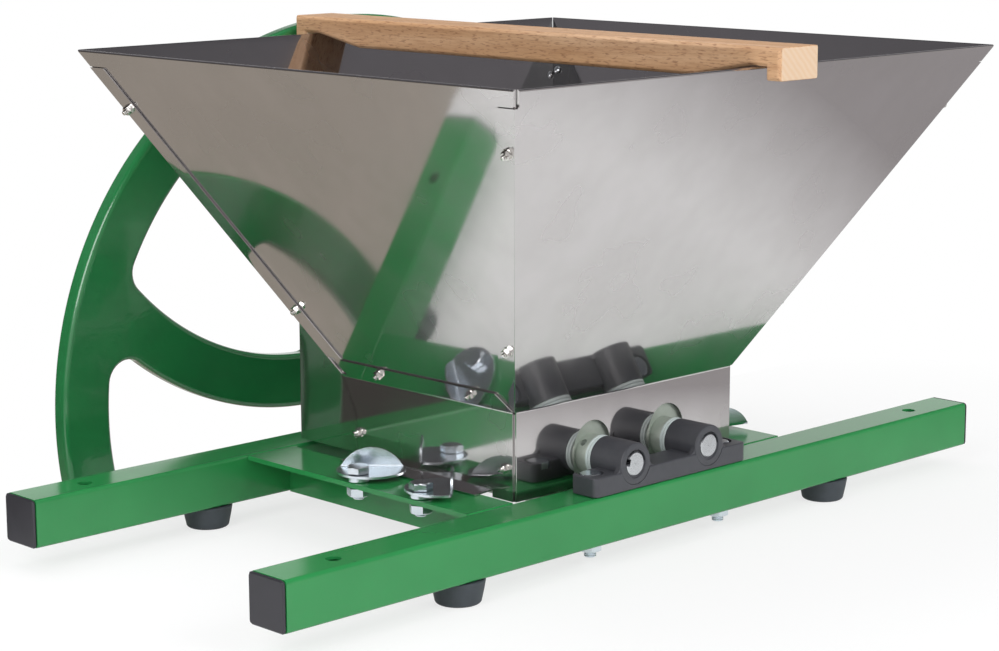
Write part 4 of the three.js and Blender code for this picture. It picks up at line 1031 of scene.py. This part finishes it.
# turned from looking straight down: roll first, then pitch, then yaw
turned = (Matrix.Rotation(yaw - math.pi / 2, 4, "Z") @ Matrix.Rotation(pitch + math.pi / 2, 4, "X")
          @ Matrix.Rotation(roll, 4, "Z"))
camera.matrix_world = Matrix.Translation(Vector(cameraSetup["positionMm"]) * mm) @ turned
scene.collection.objects.link(camera)
scene.camera = camera


# Stage: a white table whose back edge lets the wheel hang behind it
# the grey here is painted shade: metal sees it glow on the table outside a painted pool of light
stageSetup = {"tableTopMm": -20.4, "backEdgeMm": 404, "halfWidthMm": 2600, "frontMm": -3400, "thickMm": 34,
              "edgeMm": 4, "colour": "#f4f4f4", "cameraShare": 0.74, "mirrorShare": 0.4, "dim": "#aaa6a7",
              "poolMm": (560, 860), "poolMiddleMm": (-130, 60), "poolSquash": 1.5, "shadeMm": (620, 1000)}


def makeStagePaint():
    # matt white laminate; the camera and metal see it lifted towards plain white, and it keeps its shadow
    material, tree, place = newMaterial("whiteLaminate")
    paint = addNode(tree, "BsdfPrincipled", Base_Color=linear(stageSetup["colour"]), Roughness=0.9,
                    Specular_IOR_Level=0.1)[0]
    squash = (1.0, stageSetup["poolSquash"], 1.0)
    poolMm = (*stageSetup["poolMiddleMm"], stageSetup["tableTopMm"])
    middle = tuple(v * mm * s for v, s in zip(poolMm, squash))
    squashed = addNode(tree, "VectorMath", {"operation": "MULTIPLY"}, in0=place, in1=squash)
    away = addNode(tree, "VectorMath", {"operation": "DISTANCE"}, in0=squashed[0], in1=middle)["Value"]
    rays = addNode(tree, "LightPath")
    mirrored = addNode(tree, "Math", {"operation": "MAXIMUM"}, in0=rays["Is Glossy Ray"],
                       in1=rays["Is Transmission Ray"])[0]
    mirrorShare = addNode(tree, "Math", {"operation": "MULTIPLY"}, in0=mirrored,
                          in1=stageSetup["mirrorShare"])
    # the camera sees the shade only near the piece
    shadeNear, shadeFar = (v * mm for v in stageSetup["shadeMm"])
    plain = addNode(tree, "MapRange", in0=away, in1=shadeNear, in2=shadeFar,
                    in3=stageSetup["cameraShare"], in4=1.0)
    cameraShare = addNode(tree, "Math", {"operation": "MULTIPLY"}, in0=rays["Is Camera Ray"], in1=plain[0])
    share = addNode(tree, "Math", {"operation": "MAXIMUM"}, in0=mirrorShare[0], in1=cameraShare[0])
    glow = addNode(tree, "Emission", Color=(1, 1, 1, 1), Strength=1.0)
    lit = addNode(tree, "MixShader", in0=share[0], in1=paint, in2=glow[0])
    # painted shade: metal sees a painted pool of light on the table, and past it a flat grey glow further out
    paintedPoolNear, paintedPoolFar = (v * mm for v in stageSetup["poolMm"])
    outside = addNode(tree, "MapRange", in0=away, in1=paintedPoolNear, in2=paintedPoolFar, in3=0.0, in4=1.0)
    dimShare = addNode(tree, "Math", {"operation": "MULTIPLY"}, in0=outside[0], in1=mirrored)
    dim = addNode(tree, "Emission", Color=linear(stageSetup["dim"]), Strength=1.0)
    both = addNode(tree, "MixShader", in0=dimShare[0], in1=lit[0], in2=dim[0])
    addNode(tree, "OutputMaterial", Surface=both[0])
    return material


tableTop = stageSetup["tableTopMm"]
tableShell = boxShell(-stageSetup["halfWidthMm"], stageSetup["halfWidthMm"], stageSetup["frontMm"],
                      stageSetup["backEdgeMm"], tableTop - stageSetup["thickMm"], tableTop)
bevelEdges(tableShell, sharpEdges(tableShell, 28), stageSetup["edgeMm"] * mm, 3)
table = addPiece("stageTable", tableShell, makeStagePaint(), smoothAngle=32)


# Room: the camera sees white all round. Metal sees that white before and behind the table, grey screens
# at its two sides, a dim ceiling and a dim floor
roomSetup = {"light": "#f2f4f6", "lightStrength": 0.5, "screenSide": (0.697, -0.717, 0.0)}
# each tone: where it starts and is full, as a share of straight to the side or straight up
roomTones = {"rightScreen": ("sideways", 0.35, 0.75, "#b4b0ae"),
             "leftScreen": ("sideways", -0.35, -0.75, "#45413f"),
             "floor": ("upward", -0.25, -0.5, "#aaa298"), "ceiling": ("upward", 0.22, 0.42, "#6a686c"),
             "steep": ("upward", 0.6, 0.78, "#303236"), "overhead": ("upward", 0.88, 0.95, "#b4b6b8")}
white = (1, 1, 1, 1)
world = bpy.data.worlds.new("softStudio")
scene.world = world
world.use_nodes = True
sky = world.node_tree
sky.nodes.clear()
rays = addNode(sky, "LightPath")
toward = addNode(sky, "TexCoord")["Generated"]
ways = {"upward": addNode(sky, "SeparateXYZ", Vector=toward)["Z"],
        "sideways": addNode(sky, "VectorMath", {"operation": "DOT_PRODUCT"}, in0=toward,
                            in1=roomSetup["screenSide"])["Value"]}
mirrorRoom = layColours(sky, white, [(ways[way], start, full, linear(tone), 1.0)
                                     for way, start, full, tone in roomTones.values()])
seenColour = addNode(sky, "Mix", {"data_type": "RGBA"}, in0=rays["Is Camera Ray"], in6=mirrorRoom,
                     in7=white)[2]
seen = rays["Is Camera Ray"]
for ray in ("Is Glossy Ray", "Is Transmission Ray"):
    seen = addNode(sky, "Math", {"operation": "MAXIMUM"}, in0=seen, in1=rays[ray])[0]
room = addNode(sky, "Background", Color=linear(roomSetup["light"]), Strength=roomSetup["lightStrength"])
backdrop = addNode(sky, "Background", Color=seenColour, Strength=1.0)
both = addNode(sky, "MixShader", in0=seen, in1=room[0], in2=backdrop[0])
addNode(sky, "OutputWorld", Surface=both[0])

# Softboxes: metal mirrors only the fill lamp
aimMm = (0, 150, 100)
softboxes = [
    {"name": "keySoftbox", "atMm": (500, -2300, 1500), "sizeM": 1.5, "watts": 46, "mirrored": False},
    {"name": "fillSoftbox", "atMm": (-2000, -500, 1300), "sizeM": 1.2, "watts": 26, "mirrored": True},
    {"name": "topSoftbox", "atMm": (-300, 750, 2200), "sizeM": 1.3, "watts": 16, "mirrored": False},
]
for box in softboxes:
    lamp = bpy.data.lights.new(box["name"], "AREA")
    lamp.energy = box["watts"]
    lamp.size = box["sizeM"]
    holder = bpy.data.objects.new(box["name"], lamp)
    holder.location = Vector(box["atMm"]) * mm
    holder.visible_glossy = box["mirrored"]
    holder.rotation_euler = (Vector(aimMm) * mm - holder.location).to_track_quat("-Z", "Y").to_euler()
    scene.collection.objects.link(holder)
print("stage and lamps set")
